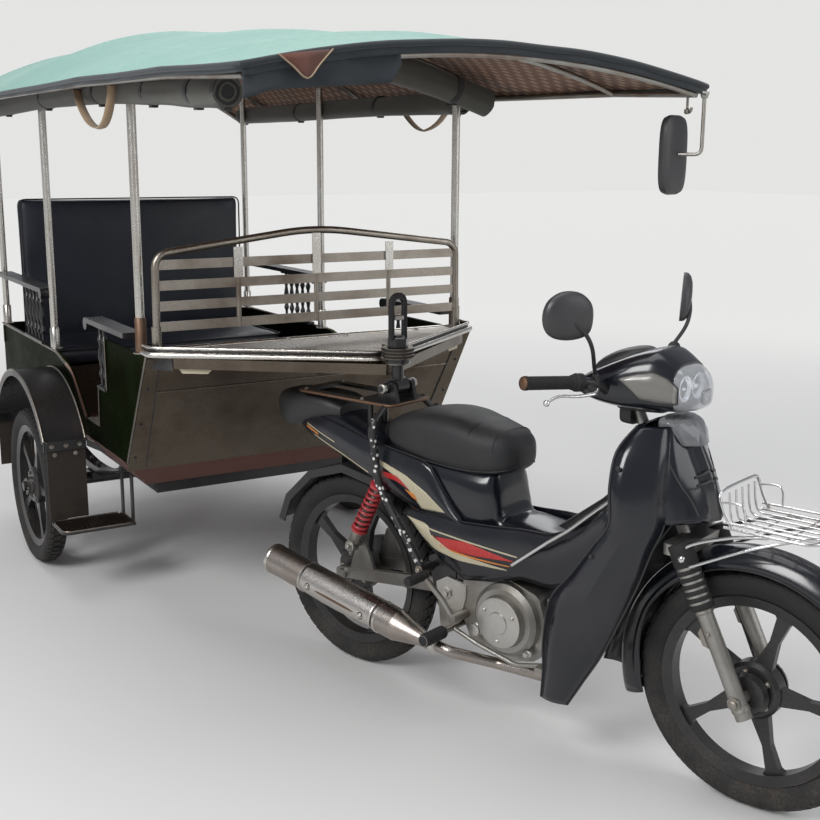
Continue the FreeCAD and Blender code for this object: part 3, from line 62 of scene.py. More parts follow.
# Places of the two halves, read from the joints. The motorcycle's frame stands on the ground under its rear
# axle and the carriage's under its own axle; x is ahead, y to the left and z up.
AXLE = JOINTS["carriage_left_spin"]["pos_m"]
REAR_AXLE = JOINTS["rear_wheel_spin"]["pos_m"]
ACROSS = JOINTS["rear_wheel_spin"]["axis"]
WHEEL_RADIUS = AXLE[2]
BIKE_TURN = math.atan2(-ACROSS[0], ACROSS[1])
BIKE = Matrix.Translation((REAR_AXLE[0], REAR_AXLE[1], 0)) @ Matrix.Rotation(BIKE_TURN, 4, "Z")
CAR = Matrix.Translation((AXLE[0], 0, 0))
CASTER = math.radians(26.3)
WHEELBASE = 1.235


def mm(value):
    """Size, point or table given in millimetres, in metres."""
    if isinstance(value, (int, float)):
        return value / 1000
    return tuple(mm(part) for part in value)


def car(x, y, z):
    """Point ahead of the carriage's axle, to its left and above the ground."""
    return CAR @ Vector((x, y, z))


def fork_x(z):
    """Distance ahead of the rear axle of the fork legs at a height."""
    return WHEELBASE - (z - WHEEL_RADIUS) * math.tan(CASTER)


# Shader helpers

def fill(tree, socket, value):
    """Links an output to a socket, or sets the socket's own value."""
    if isinstance(value, bpy.types.NodeSocket):
        tree.links.new(value, socket)
    else:
        socket.default_value = value


def node(tree, kind, inputs=None, **settings):
    """New node with its settings made and its inputs filled or linked."""
    made = tree.nodes.new(kind)
    for key, value in settings.items():
        setattr(made, key, value)
    for key, value in (inputs or {}).items():
        fill(tree, made.inputs[key], value)
    return made


def maths(tree, operation, a, b=0.5, clamp=False):
    """Result of one sum."""
    return node(tree, "ShaderNodeMath", {0: a, 1: b}, operation=operation, use_clamp=clamp).outputs[0]


def span(tree, value, low, high, to_low=0.0, to_high=1.0):
    """Value from one range laid onto another and held inside it."""
    return node(tree, "ShaderNodeMapRange", {"Value": value, "From Min": low, "From Max": high,
                                             "To Min": to_low, "To Max": to_high}).outputs["Result"]


def own_place(tree):
    """Place on the piece in its own frame."""
    return tree.nodes.new("ShaderNodeTexCoord").outputs["Object"]


def clouds(tree, place, scale, detail, rough=0.5):
    """Soft noise from 0 to 1."""
    return node(tree, "ShaderNodeTexNoise", {"Vector": place, "Scale": scale, "Detail": detail,
                                             "Roughness": rough}).outputs["Fac"]


def mix(tree, factor, a, b):
    """Colour b over colour a by a factor."""
    made = node(tree, "ShaderNodeMix", {0: factor}, data_type="RGBA")
    for key, value in ((6, a), (7, b)):
        fill(tree, made.inputs[key], value if isinstance(value, bpy.types.NodeSocket) else (*value[:3], 1))
    return made.outputs[2]


def shader_group(name, inputs, outputs):
    """Empty node group with named float or vector sockets; gives the tree, its input and its output."""
    tree = bpy.data.node_groups.new(name, "ShaderNodeTree")
    for label, value in inputs:
        kind = "NodeSocketVector" if value is None else "NodeSocketFloat"
        socket = tree.interface.new_socket(label, in_out="INPUT", socket_type=kind)
        if value is not None:
            socket.default_value = value
    for label in outputs:
        tree.interface.new_socket(label, in_out="OUTPUT", socket_type="NodeSocketFloat")
    return tree, tree.nodes.new("NodeGroupInput").outputs, tree.nodes.new("NodeGroupOutput").inputs


def group_wear():
    """Rubbed edges: a mask where the surface turns sharply, broken up by noise."""
    tree, given, out = shader_group("Edge wear", [("Radius", 0.004), ("Amount", 0.5), ("Scale", 60.0)],
                                    ["Mask"])
    soft = tree.nodes.new("ShaderNodeBevel")
    soft.samples = 4
    tree.links.new(given["Radius"], soft.inputs["Radius"])
    true = tree.nodes.new("ShaderNodeNewGeometry")
    dot = node(tree, "ShaderNodeVectorMath", {0: soft.outputs[0], 1: true.outputs["Normal"]},
               operation="DOT_PRODUCT")
    edge = span(tree, dot.outputs["Value"], 0.995, 0.8)
    place = own_place(tree)
    broken = clouds(tree, place, given["Scale"], 4.0)
    chips = span(tree, broken, 0.42, 0.62)
    mask = maths(tree, "MULTIPLY", maths(tree, "MULTIPLY", edge, chips), given["Amount"], True)
    tree.links.new(mask, out["Mask"])
    return tree


def group_dust():
    """Road dust: a mask that grows towards the ground and lies in soft patches."""
    tree, given, out = shader_group("Dust", [("Low", 0.1), ("High", 0.9), ("Amount", 0.5), ("Scale", 7.0)],
                                    ["Mask"])
    place = own_place(tree)
    height = node(tree, "ShaderNodeSeparateXYZ", {0: place}).outputs["Z"]
    fall = span(tree, height, given["High"], given["Low"], 0.05, 1.0)
    broad = clouds(tree, place, given["Scale"], 6.0)
    fine = clouds(tree, place, 160.0, 3.0)
    patch = maths(tree, "MULTIPLY", span(tree, broad, 0.3, 0.72), span(tree, fine, 0.25, 0.7))
    mask = maths(tree, "MULTIPLY", maths(tree, "MULTIPLY", fall, patch), given["Amount"], True)
    tree.links.new(mask, out["Mask"])
    return tree


def group_weave():
    """Plain weave: the height of crossing threads and a mask of their colour change."""
    tree, given, out = shader_group("Weave", [("Pitch", 900.0), ("Slub", 0.4)], ["Height", "Mask"])
    place = own_place(tree)
    parts = node(tree, "ShaderNodeSeparateXYZ", {0: place})
    warp = maths(tree, "SINE", maths(tree, "MULTIPLY", parts.outputs["X"], given["Pitch"]))
    over = maths(tree, "ADD", parts.outputs["Y"], parts.outputs["Z"])
    weft = maths(tree, "SINE", maths(tree, "MULTIPLY", over, given["Pitch"]))
    cross = maths(tree, "MULTIPLY", warp, weft)
    tree.links.new(cross, out["Height"])
    slub = clouds(tree, place, 45.0, 5.0)
    tree.links.new(maths(tree, "MULTIPLY", span(tree, slub, 0.3, 0.7), given["Slub"], True), out["Mask"])
    return tree


def group_grain():
    """Leather grain: pebbled height and a mask of its dark creases."""
    tree, given, out = shader_group("Grain", [("Scale", 420.0)], ["Height", "Mask"])
    place = own_place(tree)
    cells = node(tree, "ShaderNodeTexVoronoi", {"Vector": place, "Scale": given["Scale"]},
                 feature="DISTANCE_TO_EDGE").outputs["Distance"]
    tree.links.new(span(tree, cells, 0.0, 0.25), out["Height"])
    tree.links.new(span(tree, cells, 0.12, 0.0), out["Mask"])
    return tree


def group_brush():
    """Fine scratches drawn out along the vehicle, and blurred stains."""
    tree, given, out = shader_group("Brushed", [("Scale", 90.0)], ["Lines", "Stain"])
    place = own_place(tree)
    long = node(tree, "ShaderNodeVectorMath", {0: place, 1: (1.0, 1.0, 14.0)},
                operation="MULTIPLY").outputs[0]
    lines = clouds(tree, long, given["Scale"], 6.0)
    stain = clouds(tree, place, 5.0, 7.0, 0.6)
    tree.links.new(span(tree, lines, 0.3, 0.7), out["Lines"])
    tree.links.new(span(tree, stain, 0.35, 0.7), out["Stain"])
    return tree


GROUPS = {}


def effect(tree, name, **values):
    """Places a shared group in a material with its own values."""
    made = tree.nodes.new("ShaderNodeGroup")
    made.node_tree = GROUPS[name]
    for label, value in values.items():
        made.inputs[label].default_value = value
    return made.outputs


def new_material(name, **fixed):
    """Material with a Principled shader; fixed numbers are set on its sockets."""
    material = bpy.data.materials.new(name)
    material.use_nodes = True
    tree = material.node_tree
    shader = tree.nodes["Principled BSDF"]
    for label, value in fixed.items():
        socket = shader.inputs[label.replace("_", " ")]
        socket.default_value = (*value, 1) if isinstance(value, tuple) and len(value) == 3 else value
    return material, tree, shader


def feed(tree, value, shader, label):
    """Links a value to one of the shader's inputs."""
    tree.links.new(value, shader.inputs[label])


def bump(tree, shader, height, strength, distance):
    """Gives the surface the relief of a height."""
    made = node(tree, "ShaderNodeBump", {"Height": height, "Strength": strength, "Distance": distance})
    feed(tree, made.outputs[0], shader, "Normal")


# Colour of road dust, and how closely threads and the lining's lozenges repeat, in radians a metre
DUST = (0.20, 0.165, 0.125)
THREADS = 900.0
LOZENGES = 110.0


def painted(name, colour, rough, wear, wear_amount, dust, coat=0.0, low=0.1, high=1.0):
    """Paint or plastic with rubbed edges, uneven gloss and dust."""
    material, tree, shader = new_material(name, Coat_Weight=coat, Coat_Roughness=0.08)
    edge = effect(tree, "Edge wear", Amount=wear_amount)["Mask"]
    dirt = effect(tree, "Dust", Low=low, High=high, Amount=dust)["Mask"]
    stain = effect(tree, "Brushed", Scale=60.0)["Stain"]
    tone = mix(tree, span(tree, stain, 0, 1, 0.0, 0.5), colour,
               tuple(min(1, c * 1.3 + 0.003) for c in colour))
    worn = mix(tree, edge, tone, wear)
    feed(tree, mix(tree, dirt, worn, DUST), shader, "Base Color")
    gloss = maths(tree, "ADD", span(tree, stain, 0, 1, rough * 0.8, rough * 1.25),
                  maths(tree, "MULTIPLY", dirt, 0.5), True)
    feed(tree, gloss, shader, "Roughness")
    return material


def speckled(name, colour, dabs):
    """Enamel spattered with small pale dabs."""
    material, tree, shader = new_material(name, Roughness=0.4)
    place = own_place(tree)
    cells = node(tree, "ShaderNodeTexVoronoi", {"Vector": place, "Scale": 75.0}).outputs["Distance"]
    patch = clouds(tree, place, 22.0, 2.0)
    spots = maths(tree, "MULTIPLY", span(tree, cells, 0.40, 0.33), span(tree, patch, 0.42, 0.48), True)
    feed(tree, mix(tree, spots, colour, dabs), shader, "Base Color")
    return material


def steel(name, colour, rough=0.28, stain_colour=(0.2, 0.15, 0.1), stain_amount=0.4, dust=0.25, lines=0.3,
          rim=1.0):
    """Bare metal with brushed lines, stains and dust; rim is how bright it turns at a flat angle."""
    material, tree, shader = new_material(name, Metallic=1.0, Specular_Tint=(rim, rim, rim))
    brushed = effect(tree, "Brushed", Scale=110.0)
    dirt = effect(tree, "Dust", Low=0.2, High=1.3, Amount=dust)["Mask"]
    tone = mix(tree, span(tree, brushed["Stain"], 0.3, 1, 0, stain_amount), colour, stain_colour)
    feed(tree, mix(tree, dirt, tone, DUST), shader, "Base Color")
    spread = span(tree, brushed["Lines"], 0, 1, rough * 0.7, rough * 1.3)
    worn = maths(tree, "ADD", spread, maths(tree, "MULTIPLY", brushed["Stain"], 0.12))
    feed(tree, maths(tree, "ADD", worn, maths(tree, "MULTIPLY", dirt, 0.5), True), shader, "Roughness")
    bump(tree, shader, brushed["Lines"], lines, 0.0004)
    return material


def cloth(name, colour, shade, pitch=THREADS, dust=0.1):
    """Woven cloth with thread relief, uneven dye and dust."""
    material, tree, shader = new_material(name, Roughness=0.85, Sheen_Weight=0.2)
    woven = effect(tree, "Weave", Pitch=pitch)
    dirt = effect(tree, "Dust", Low=0.4, High=2.4, Amount=dust, Scale=4.0)["Mask"]
    place = own_place(tree)
    fade = clouds(tree, place, 2.5, 8.0, 0.65)
    tone = mix(tree, span(tree, fade, 0.35, 0.7), colour, shade)
    tone = mix(tree, woven["Mask"], tone, tuple(c * 0.72 for c in colour))
    feed(tree, mix(tree, dirt, tone, DUST), shader, "Base Color")
    bump(tree, shader, woven["Height"], 0.35, 0.0006)
    return material


def vinyl(name, colour, rough=0.34, dust=0.10, scale=420.0):
    """Padded sheet vinyl with a pebbled grain."""
    material, tree, shader = new_material(name, Specular_IOR_Level=0.45)
    grain = effect(tree, "Grain", Scale=scale)
    dirt = effect(tree, "Dust", Low=0.3, High=1.6, Amount=dust, Scale=9.0)["Mask"]
    stain = effect(tree, "Brushed", Scale=40.0)["Stain"]
    tone = mix(tree, span(tree, stain, 0, 1, 0, 0.5), colour, tuple(c * 1.4 + 0.002 for c in colour))
    tone = mix(tree, maths(tree, "MULTIPLY", grain["Mask"], 0.5), tone, tuple(c * 0.4 for c in colour))
    feed(tree, mix(tree, dirt, tone, DUST), shader, "Base Color")
    feed(tree, span(tree, stain, 0, 1, rough, rough + 0.2), shader, "Roughness")
    bump(tree, shader, grain["Height"], 0.25, 0.0005)
    return material


def rubber(name, colour=(0.016, 0.016, 0.017), rough=0.7, dust=0.45, high=0.6):
    """Tyre or flap rubber with ground-in dust."""
    material, tree, shader = new_material(name, Specular_IOR_Level=0.3)
    dirt = effect(tree, "Dust", Low=0.0, High=high, Amount=dust, Scale=16.0)["Mask"]
    fine = effect(tree, "Grain", Scale=900.0)
    feed(tree, mix(tree, dirt, colour, tuple(c * 0.75 for c in DUST)), shader, "Base Color")
    feed(tree, maths(tree, "ADD", maths(tree, "MULTIPLY", dirt, 0.2), rough, True), shader, "Roughness")
    bump(tree, shader, fine["Height"], 0.12, 0.0004)
    return material


def clear(name, colour, rough=0.05):
    """Lamp lens: clear plastic with fine scratches."""
    material, tree, shader = new_material(name, Base_Color=colour, Transmission_Weight=0.85, IOR=1.45)
    brushed = effect(tree, "Brushed", Scale=70.0)
    feed(tree, span(tree, brushed["Stain"], 0, 1, rough, rough + 0.12), shader, "Roughness")
    return material


def lining(name):
    """Patterned lining: brown cloth printed with a lattice of small lozenges."""
    material, tree, shader = new_material(name, Roughness=0.8)
    place = own_place(tree)
    parts = node(tree, "ShaderNodeSeparateXYZ", {0: place})
    waves = []
    for operation in ("ADD", "SUBTRACT"):
        slant = maths(tree, operation, parts.outputs["X"], parts.outputs["Y"])
        waves.append(maths(tree, "SINE", maths(tree, "MULTIPLY", slant, LOZENGES)))
    lattice = span(tree, maths(tree, "ADD", *waves), 0.4, 0.9)
    warm = clouds(tree, place, 6.0, 5.0)
    ground = mix(tree, span(tree, warm, 0.35, 0.7), (0.17, 0.085, 0.05), (0.10, 0.06, 0.045))
    feed(tree, mix(tree, lattice, ground, (0.30, 0.20, 0.14)), shader, "Base Color")
    bump(tree, shader, effect(tree, "Weave", Pitch=THREADS)["Height"], 0.3, 0.0005)
    return material


M = {}


def make_materials(colours):
    GROUPS.update({"Edge wear": group_wear(), "Dust": group_dust(), "Weave": group_weave(),
                   "Grain": group_grain(), "Brushed": group_brush()})
    M["mint"] = cloth("mint canvas", tuple(colours.canopy), (0.24, 0.42, 0.35))
    M["navy"] = cloth("navy binding", (0.012, 0.018, 0.024), (0.026, 0.031, 0.036))
    M["lining"] = lining("printed lining")
    M["curtain"] = cloth("curtain cloth", tuple(colours.curtain), (0.050, 0.050, 0.042), pitch=700.0,
                         dust=0.15)
    M["strap"] = cloth("tan webbing", (0.36, 0.25, 0.15), (0.27, 0.19, 0.12), pitch=1500.0)
    M["tie"] = cloth("black tie", (0.012, 0.012, 0.014), (0.03, 0.03, 0.03), pitch=1500.0)
    M["flap"] = cloth("red brown flap", (0.13, 0.045, 0.03), (0.09, 0.04, 0.03))
    M["stainless"] = steel("stainless sheet", (0.135, 0.112, 0.088), 0.24, (0.060, 0.040, 0.026), 0.75, 0.2)
    M["quarter"] = steel("stained quarter panel", (0.040, 0.050, 0.032), 0.24, (0.024, 0.022, 0.015), 0.7,
                         0.08, rim=0.35)
    M["worn"] = steel("worn stainless", (0.33, 0.30, 0.26), 0.28, (0.12, 0.085, 0.06), 0.75, 0.15)
    M["bright"] = steel("bright stainless", (0.60, 0.58, 0.54), 0.2, (0.3, 0.22, 0.17), 0.4, 0.08)
    M["copper"] = steel("tinted trim", (0.42, 0.25, 0.18), 0.2, (0.22, 0.12, 0.08), 0.5, 0.1)
    M["chrome"] = steel("chrome", (0.66, 0.66, 0.66), 0.13, (0.33, 0.24, 0.17), 0.3, 0.06, 0.1)
    M["zinc"] = steel("zinc plate", (0.36, 0.35, 0.32), 0.38, (0.18, 0.10, 0.06), 0.7, 0.15)
    M["alloy"] = steel("cast alloy", (0.36, 0.35, 0.33), 0.42, (0.16, 0.135, 0.10), 0.6, 0.25)
    M["bright_alloy"] = steel("polished alloy", (0.52, 0.51, 0.48), 0.3, (0.25, 0.2, 0.15), 0.5, 0.12)
    M["can"] = steel("silencer steel", (0.38, 0.34, 0.31), 0.26, (0.20, 0.13, 0.10), 0.6, 0.2)
    M["stainless_heat"] = steel("heat shield steel", (0.55, 0.52, 0.49), 0.24, (0.3, 0.22, 0.17), 0.5, 0.1)
    M["rusty"] = steel("rusty pipe", (0.20, 0.13, 0.09), 0.5, (0.13, 0.055, 0.03), 0.9, 0.2)
    M["black"] = painted("black enamel", tuple(colours.black), 0.3, (0.10, 0.09, 0.085), 0.4, 0.16)
    M["gloss"] = painted("gloss cowl", tuple(colours.cowl), 0.2, (0.06, 0.06, 0.06), 0.2, 0.10, coat=0.15)
    M["plastic"] = painted("matt plastic", (0.014, 0.014, 0.015), 0.5, (0.05, 0.05, 0.05), 0.25, 0.16)
    M["rust_red"] = painted("red oxide paint", (0.075, 0.018, 0.011), 0.5, (0.07, 0.035, 0.022), 0.7, 0.3)
    M["wheel"] = painted("black wheel", (0.012, 0.012, 0.013), 0.3, (0.10, 0.095, 0.09), 0.3, 0.22, low=0.0,
                         high=0.7)
    M["vinyl"] = vinyl("navy vinyl", tuple(colours.vinyl))
    M["seat"] = vinyl("seat cover", (0.011, 0.012, 0.014), 0.46, 0.12, 700.0)
    M["piping"] = vinyl("piping", (0.008, 0.009, 0.012), 0.35, 0.08)
    M["tyre"] = rubber("tyre rubber")
    M["rubber"] = rubber("black rubber", dust=0.2, high=1.0)
    M["brown_rubber"] = rubber("brown rubber", (0.026, 0.020, 0.016), 0.6, 0.30)
    M["lens"] = clear("clear lens", (0.9, 0.92, 0.95, 1))
    M["indicator"] = clear("pale indicator lens", (0.72, 0.70, 0.66, 1), 0.12)
    M["red"] = painted("red lens", (0.30, 0.010, 0.010), 0.12, (0.4, 0.1, 0.1), 0.1, 0.08)
    M["mirror"] = steel("mirror glass", (0.8, 0.82, 0.84), 0.04, (0.6, 0.6, 0.6), 0.2, 0.05, 0.0)
    M["mirror_shell"] = painted("mirror shell", (0.030, 0.030, 0.032), 0.42, (0.08, 0.08, 0.08), 0.2, 0.1)
    M["reflector"] = steel("lamp reflector", (0.85, 0.86, 0.88), 0.1, (0.7, 0.7, 0.7), 0.2, 0.0, 0.0)
    M["spring"] = painted("red spring", tuple(colours.spring), 0.25, (0.18, 0.05, 0.04), 0.3, 0.12)
    M["cream"] = painted("cream stripe", (0.40, 0.36, 0.25), 0.3, (0.2, 0.18, 0.13), 0.1, 0.1)
    M["scarlet"] = painted("scarlet stripe", (0.36, 0.02, 0.018), 0.28, (0.2, 0.05, 0.04), 0.1, 0.1)
    M["orange"] = painted("orange stripe", (0.50, 0.17, 0.03), 0.3, (0.3, 0.12, 0.05), 0.1, 0.1)
    M["speckled"] = speckled("spattered enamel", (0.012, 0.012, 0.013), (0.60, 0.60, 0.57))
    M["beige"] = painted("beige paint", (0.42, 0.37, 0.27), 0.55, (0.2, 0.16, 0.12), 0.5, 0.2)


# Mesh helpers

BOX_FACES = ((0, 3, 2, 1), (4, 5, 6, 7), (0, 1, 5, 4), (1, 2, 6, 5), (2, 3, 7, 6), (3, 0, 4, 7))


def on_circle(centre, across, up, radius, angle):
    """Point on a circle in the plane of two directions."""
    return centre + across * (radius * math.cos(angle)) + up * (radius * math.sin(angle))


class Build:
    """Collects vertices and faces of one piece, in the frame of the half of the vehicle that its body is on.

    Another place may be given for that frame. Each face keeps the number of its material.
    """

    def __init__(self, body, place=None):
        self.body = body
        self.place = place or (CAR if body.startswith("carriage") else BIKE)
        self.verts = []
        self.faces = []
        self.numbers = []

    def add(self, verts, faces, number=0):
        first = len(self.verts)
        self.verts += [self.place @ Vector(v) for v in verts]
        self.faces += [tuple(first + i for i in face) for face in faces]
        self.numbers += [number] * len(faces)

    def rings(self, rings, closed=False, caps=True, number=0):
        """Skin over a row of closed rings with equal counts."""
        count = len(rings[0])
        faces = []
        total = len(rings)
        for i in range(total if closed else total - 1):
            j = (i + 1) % total
            for k in range(count):
                m = (k + 1) % count
                faces.append((i * count + k, i * count + m, j * count + m, j * count + k))
        if caps and not closed:
            faces.append(tuple(range(count))[::-1])
            faces.append(tuple((total - 1) * count + k for k in range(count)))
        self.add([p for ring in rings for p in ring], faces, number)

    def tube(self, points, radius, sides=12, closed=False, number=0, radii=None, flat=1.0):
        """Round or flattened rod along a row of points."""
        spots = [Vector(p) for p in points]
        count = len(spots)
        turns = []
        for i in range(count):
            back = spots[i - 1] if (i or closed) else spots[i]
            on = spots[(i + 1) % count] if (i < count - 1 or closed) else spots[i]
            turns.append((on - back).normalized())
        side = turns[0].orthogonal().normalized()
        if abs(turns[0].z) < 0.9:
            side = turns[0].cross(Vector((0, 0, 1))).normalized()
        rings = []
        for i, (spot, turn) in enumerate(zip(spots, turns)):
            side = (side - turn * side.dot(turn)).normalized()
            up = turn.cross(side)
            size = radii[i] if radii else radius
            rings.append([spot + side * (size * math.cos(a)) + up * (size * flat * math.sin(a))
                          for a in (2 * math.pi * k / sides for k in range(sides))])
        self.rings(rings, closed, number=number)

    def lathe(self, base, axis, profile, sides=24, number=0):
        """Turned form about an axis from rows of distance and radius in millimetres."""
        along = Vector(axis).normalized()
        side = along.orthogonal().normalized()
        up = along.cross(side)
        start = Vector(base)
        rings = [[on_circle(start + along * d, side, up, r, 2 * math.pi * k / sides) for k in range(sides)]
                 for d, r in mm(profile)]
        self.rings(rings, number=number)

    def block(self, low, high, number=0):
        x0, y0, z0 = low
        x1, y1, z1 = high
        square = ((x0, y0), (x1, y0), (x1, y1), (x0, y1))
        self.add([(x, y, z) for z in (z0, z1) for x, y in square], BOX_FACES, number)

    def prism(self, outline, push, number=0):
        """Flat outline pushed along a vector."""
        count = len(outline)
        near = [Vector(p) for p in outline]
        far = [p + Vector(push) for p in near]
        faces = [tuple(range(count))[::-1], tuple(range(count, 2 * count))]
        faces += [(k, (k + 1) % count, count + (k + 1) % count, count + k) for k in range(count)]
        self.add(near + far, faces, number)

    def grid(self, rows, number=0, wrap=False):
        """Sheet over equal rows of points."""
        wide = len(rows[0])
        faces = []
        for i in range(len(rows) - 1):
            for k in range(wide if wrap else wide - 1):
                m = (k + 1) % wide
                faces.append((i * wide + k, i * wide + m, (i + 1) * wide + m, (i + 1) * wide + k))
        self.add([p for row in rows for p in row], faces, number)

    def bolt(self, spot, axis, size, number=0):
        """Hexagon head on a washer; size is half the head's width."""
        head = size * 1000
        self.lathe(spot, axis, [(0, head * 1.5), (head * 0.25, head * 1.5), (head * 0.3, head * 1.45)], 16,
                   number)
        self.lathe(Vector(spot) + Vector(axis).normalized() * size * 0.25, axis,
                   [(0, head), (head * 0.75, head), (head * 0.9, head * 0.8)], 6, number)

    def bolt_ring(self, centre, face, radius, count, size, turn=0.0):
        """Bolts evenly on a circle about a line across the vehicle; face is the side that they look to."""
        for k in range(count):
            angle = 2 * math.pi * k / count + turn
            spot = Vector(centre) + Vector((radius * math.cos(angle), 0, radius * math.sin(angle)))
            self.bolt(spot, (0, face, 0), size)

    def make(self, name, materials, replaces=(), angle=35, bevel=0.0, thick=0.0, offset=-1.0):
        """Turns what was collected into one piece that rides on the body."""
        mesh = bpy.data.meshes.new(name)
        mesh.from_pydata([tuple(v) for v in self.verts], [], self.faces)
        for material in materials:
            mesh.materials.append(M[material])
        mesh.polygons.foreach_set("material_index", self.numbers)
        work = bmesh.new()
        work.from_mesh(mesh)
        bmesh.ops.recalc_face_normals(work, faces=work.faces)
        work.to_mesh(mesh)
        work.free()
        obj = bpy.data.objects.new(name, mesh)
        bpy.context.scene.collection.objects.link(obj)
        if thick:
            shell = obj.modifiers.new("Thickness", "SOLIDIFY")
            shell.thickness = thick
            shell.offset = offset
        if bevel:
            edge = obj.modifiers.new("Edges", "BEVEL")
            edge.width = bevel
            edge.segments = 2
            edge.limit_method = "ANGLE"
            edge.angle_limit = math.radians(40)
        mesh.shade_smooth()
        mesh.set_sharp_from_angle(angle=math.radians(angle))
        return settle(obj, self.body, replaces)


def settle(obj, body, replaces=()):
    """Hangs a piece on its body and hides the nodes that it stands for."""
    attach(obj, body)
    if replaces:
        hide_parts(*replaces)
    return obj


def spline(points, steps=8, closed=False):
    """Smooth line through points."""
    spots = [Vector(p) for p in points]
    count = len(spots)
    line = []
    for i in range(count if closed else count - 1):
        p0 = spots[i - 1] if (i or closed) else spots[0]
        p1 = spots[i]
        p2 = spots[(i + 1) % count]
        p3 = spots[(i + 2) % count] if (i + 2 < count or closed) else spots[-1]
        for k in range(steps):
            t = k / steps
            line.append(0.5 * (2 * p1 + (p2 - p0) * t + (2 * p0 - 5 * p1 + 4 * p2 - p3) * t * t
                               + (3 * p1 - p0 - 3 * p2 + p3) * t ** 3))
    if not closed:
        line.append(spots[-1])
    return line


def rounded(points, bend, steps=4, closed=False):
    """Line through corners, with each corner turned in a curve."""
    spots = [Vector(p) for p in points]
    count = len(spots)
    line = []
    for i, corner in enumerate(spots):
        if not closed and i in (0, count - 1):
            line.append(corner)
            continue
        back = (spots[i - 1] - corner).normalized()
        on = (spots[(i + 1) % count] - corner).normalized()
        line += [corner + (back * (1 - k / steps) ** 2 + on * (k / steps) ** 2) * bend
                 for k in range(steps + 1)]
    return line


def sided(side, *points):
    """Points in millimetres as they lie on the left, put on a side: -1 is the right and 1 the left."""
    return [Vector((x, side * y, z)) for x, y, z in mm(points)]


def ribs(start, pitch, count, steps):
    """Rows of a turned profile in which the same few steps come again and again."""
    return [(start + pitch * k + along, radius) for k in range(count) for along, radius in steps]


def table_at(rows, t):
    """Row of a table of equal rows, read between its entries; the first column is the place."""
    for low, high in zip(rows, rows[1:]):
        if t <= high[0]:
            share = max(0.0, (t - low[0]) / (high[0] - low[0]))
            return [a + (b - a) * share for a, b in zip(low, high)]
    return list(rows[-1])


# Sizes and colours that a user would change

class RickshawSizes(bpy.types.PropertyGroup):
    sag: bpy.props.FloatProperty(name="Canopy sag",
                                 description="How far the roof cloth dips between its bows", default=0.008,
                                 min=0, max=0.03, unit="LENGTH")
    roll: bpy.props.FloatProperty(name="Curtain roll", description="Radius of the rolled curtains",
                                  default=0.036, min=0.02, max=0.038, unit="LENGTH")
    camera_lens: bpy.props.FloatProperty(name="Lens", description="Focal length of the camera in millimetres",
                                         default=51.16, min=20, max=200)


class RickshawColours(bpy.types.PropertyGroup):
    canopy: bpy.props.FloatVectorProperty(name="Canopy", description="Outer cloth of the roof",
                                          subtype="COLOR", default=(0.165, 0.345, 0.30), min=0, max=1)
    curtain: bpy.props.FloatVectorProperty(name="Curtains", description="Rolled side curtains",
                                           subtype="COLOR", default=(0.075, 0.074, 0.062), min=0, max=1)
    black: bpy.props.FloatVectorProperty(name="Enamel", description="Black paint of the carriage",
                                         subtype="COLOR", default=(0.010, 0.010, 0.011), min=0, max=1)
    cowl: bpy.props.FloatVectorProperty(name="Cowls", description="Gloss covers of the motorcycle",
                                        subtype="COLOR", default=(0.005, 0.006, 0.010), min=0, max=1)
    vinyl: bpy.props.FloatVectorProperty(name="Benches", description="Vinyl of the benches", subtype="COLOR",
                                         default=(0.006, 0.009, 0.017), min=0, max=1)
    spring: bpy.props.FloatVectorProperty(name="Springs", description="Rear springs of the motorcycle",
                                          subtype="COLOR", default=(0.33, 0.03, 0.035), min=0, max=1)


BACKGROUND = (0.78, 0.78, 0.77)
# Each light with its place, size and power; all look at one spot
LIGHTS = (
    ("key", (2.5, -5.5, 5.0), 3.0, 380),
    ("fill", (5.5, 3.5, 3.5), 4.0, 110),
    ("back", (-4.5, 3.0, 5.0), 5.0, 170),
    ("top", (0.0, 0.0, 6.5), 5.0, 170),
)
LIGHT_AIM = Vector((0.2, 0.0, 0.7))
# The camera's place from the carriage's axle, and its heading, dip and roll in degrees
CAMERA_PLACE = (4.259, -1.614, 1.468)
CAMERA_HEADING = 148.925
CAMERA_DIP = 12.18
CAMERA_ROLL = -0.288


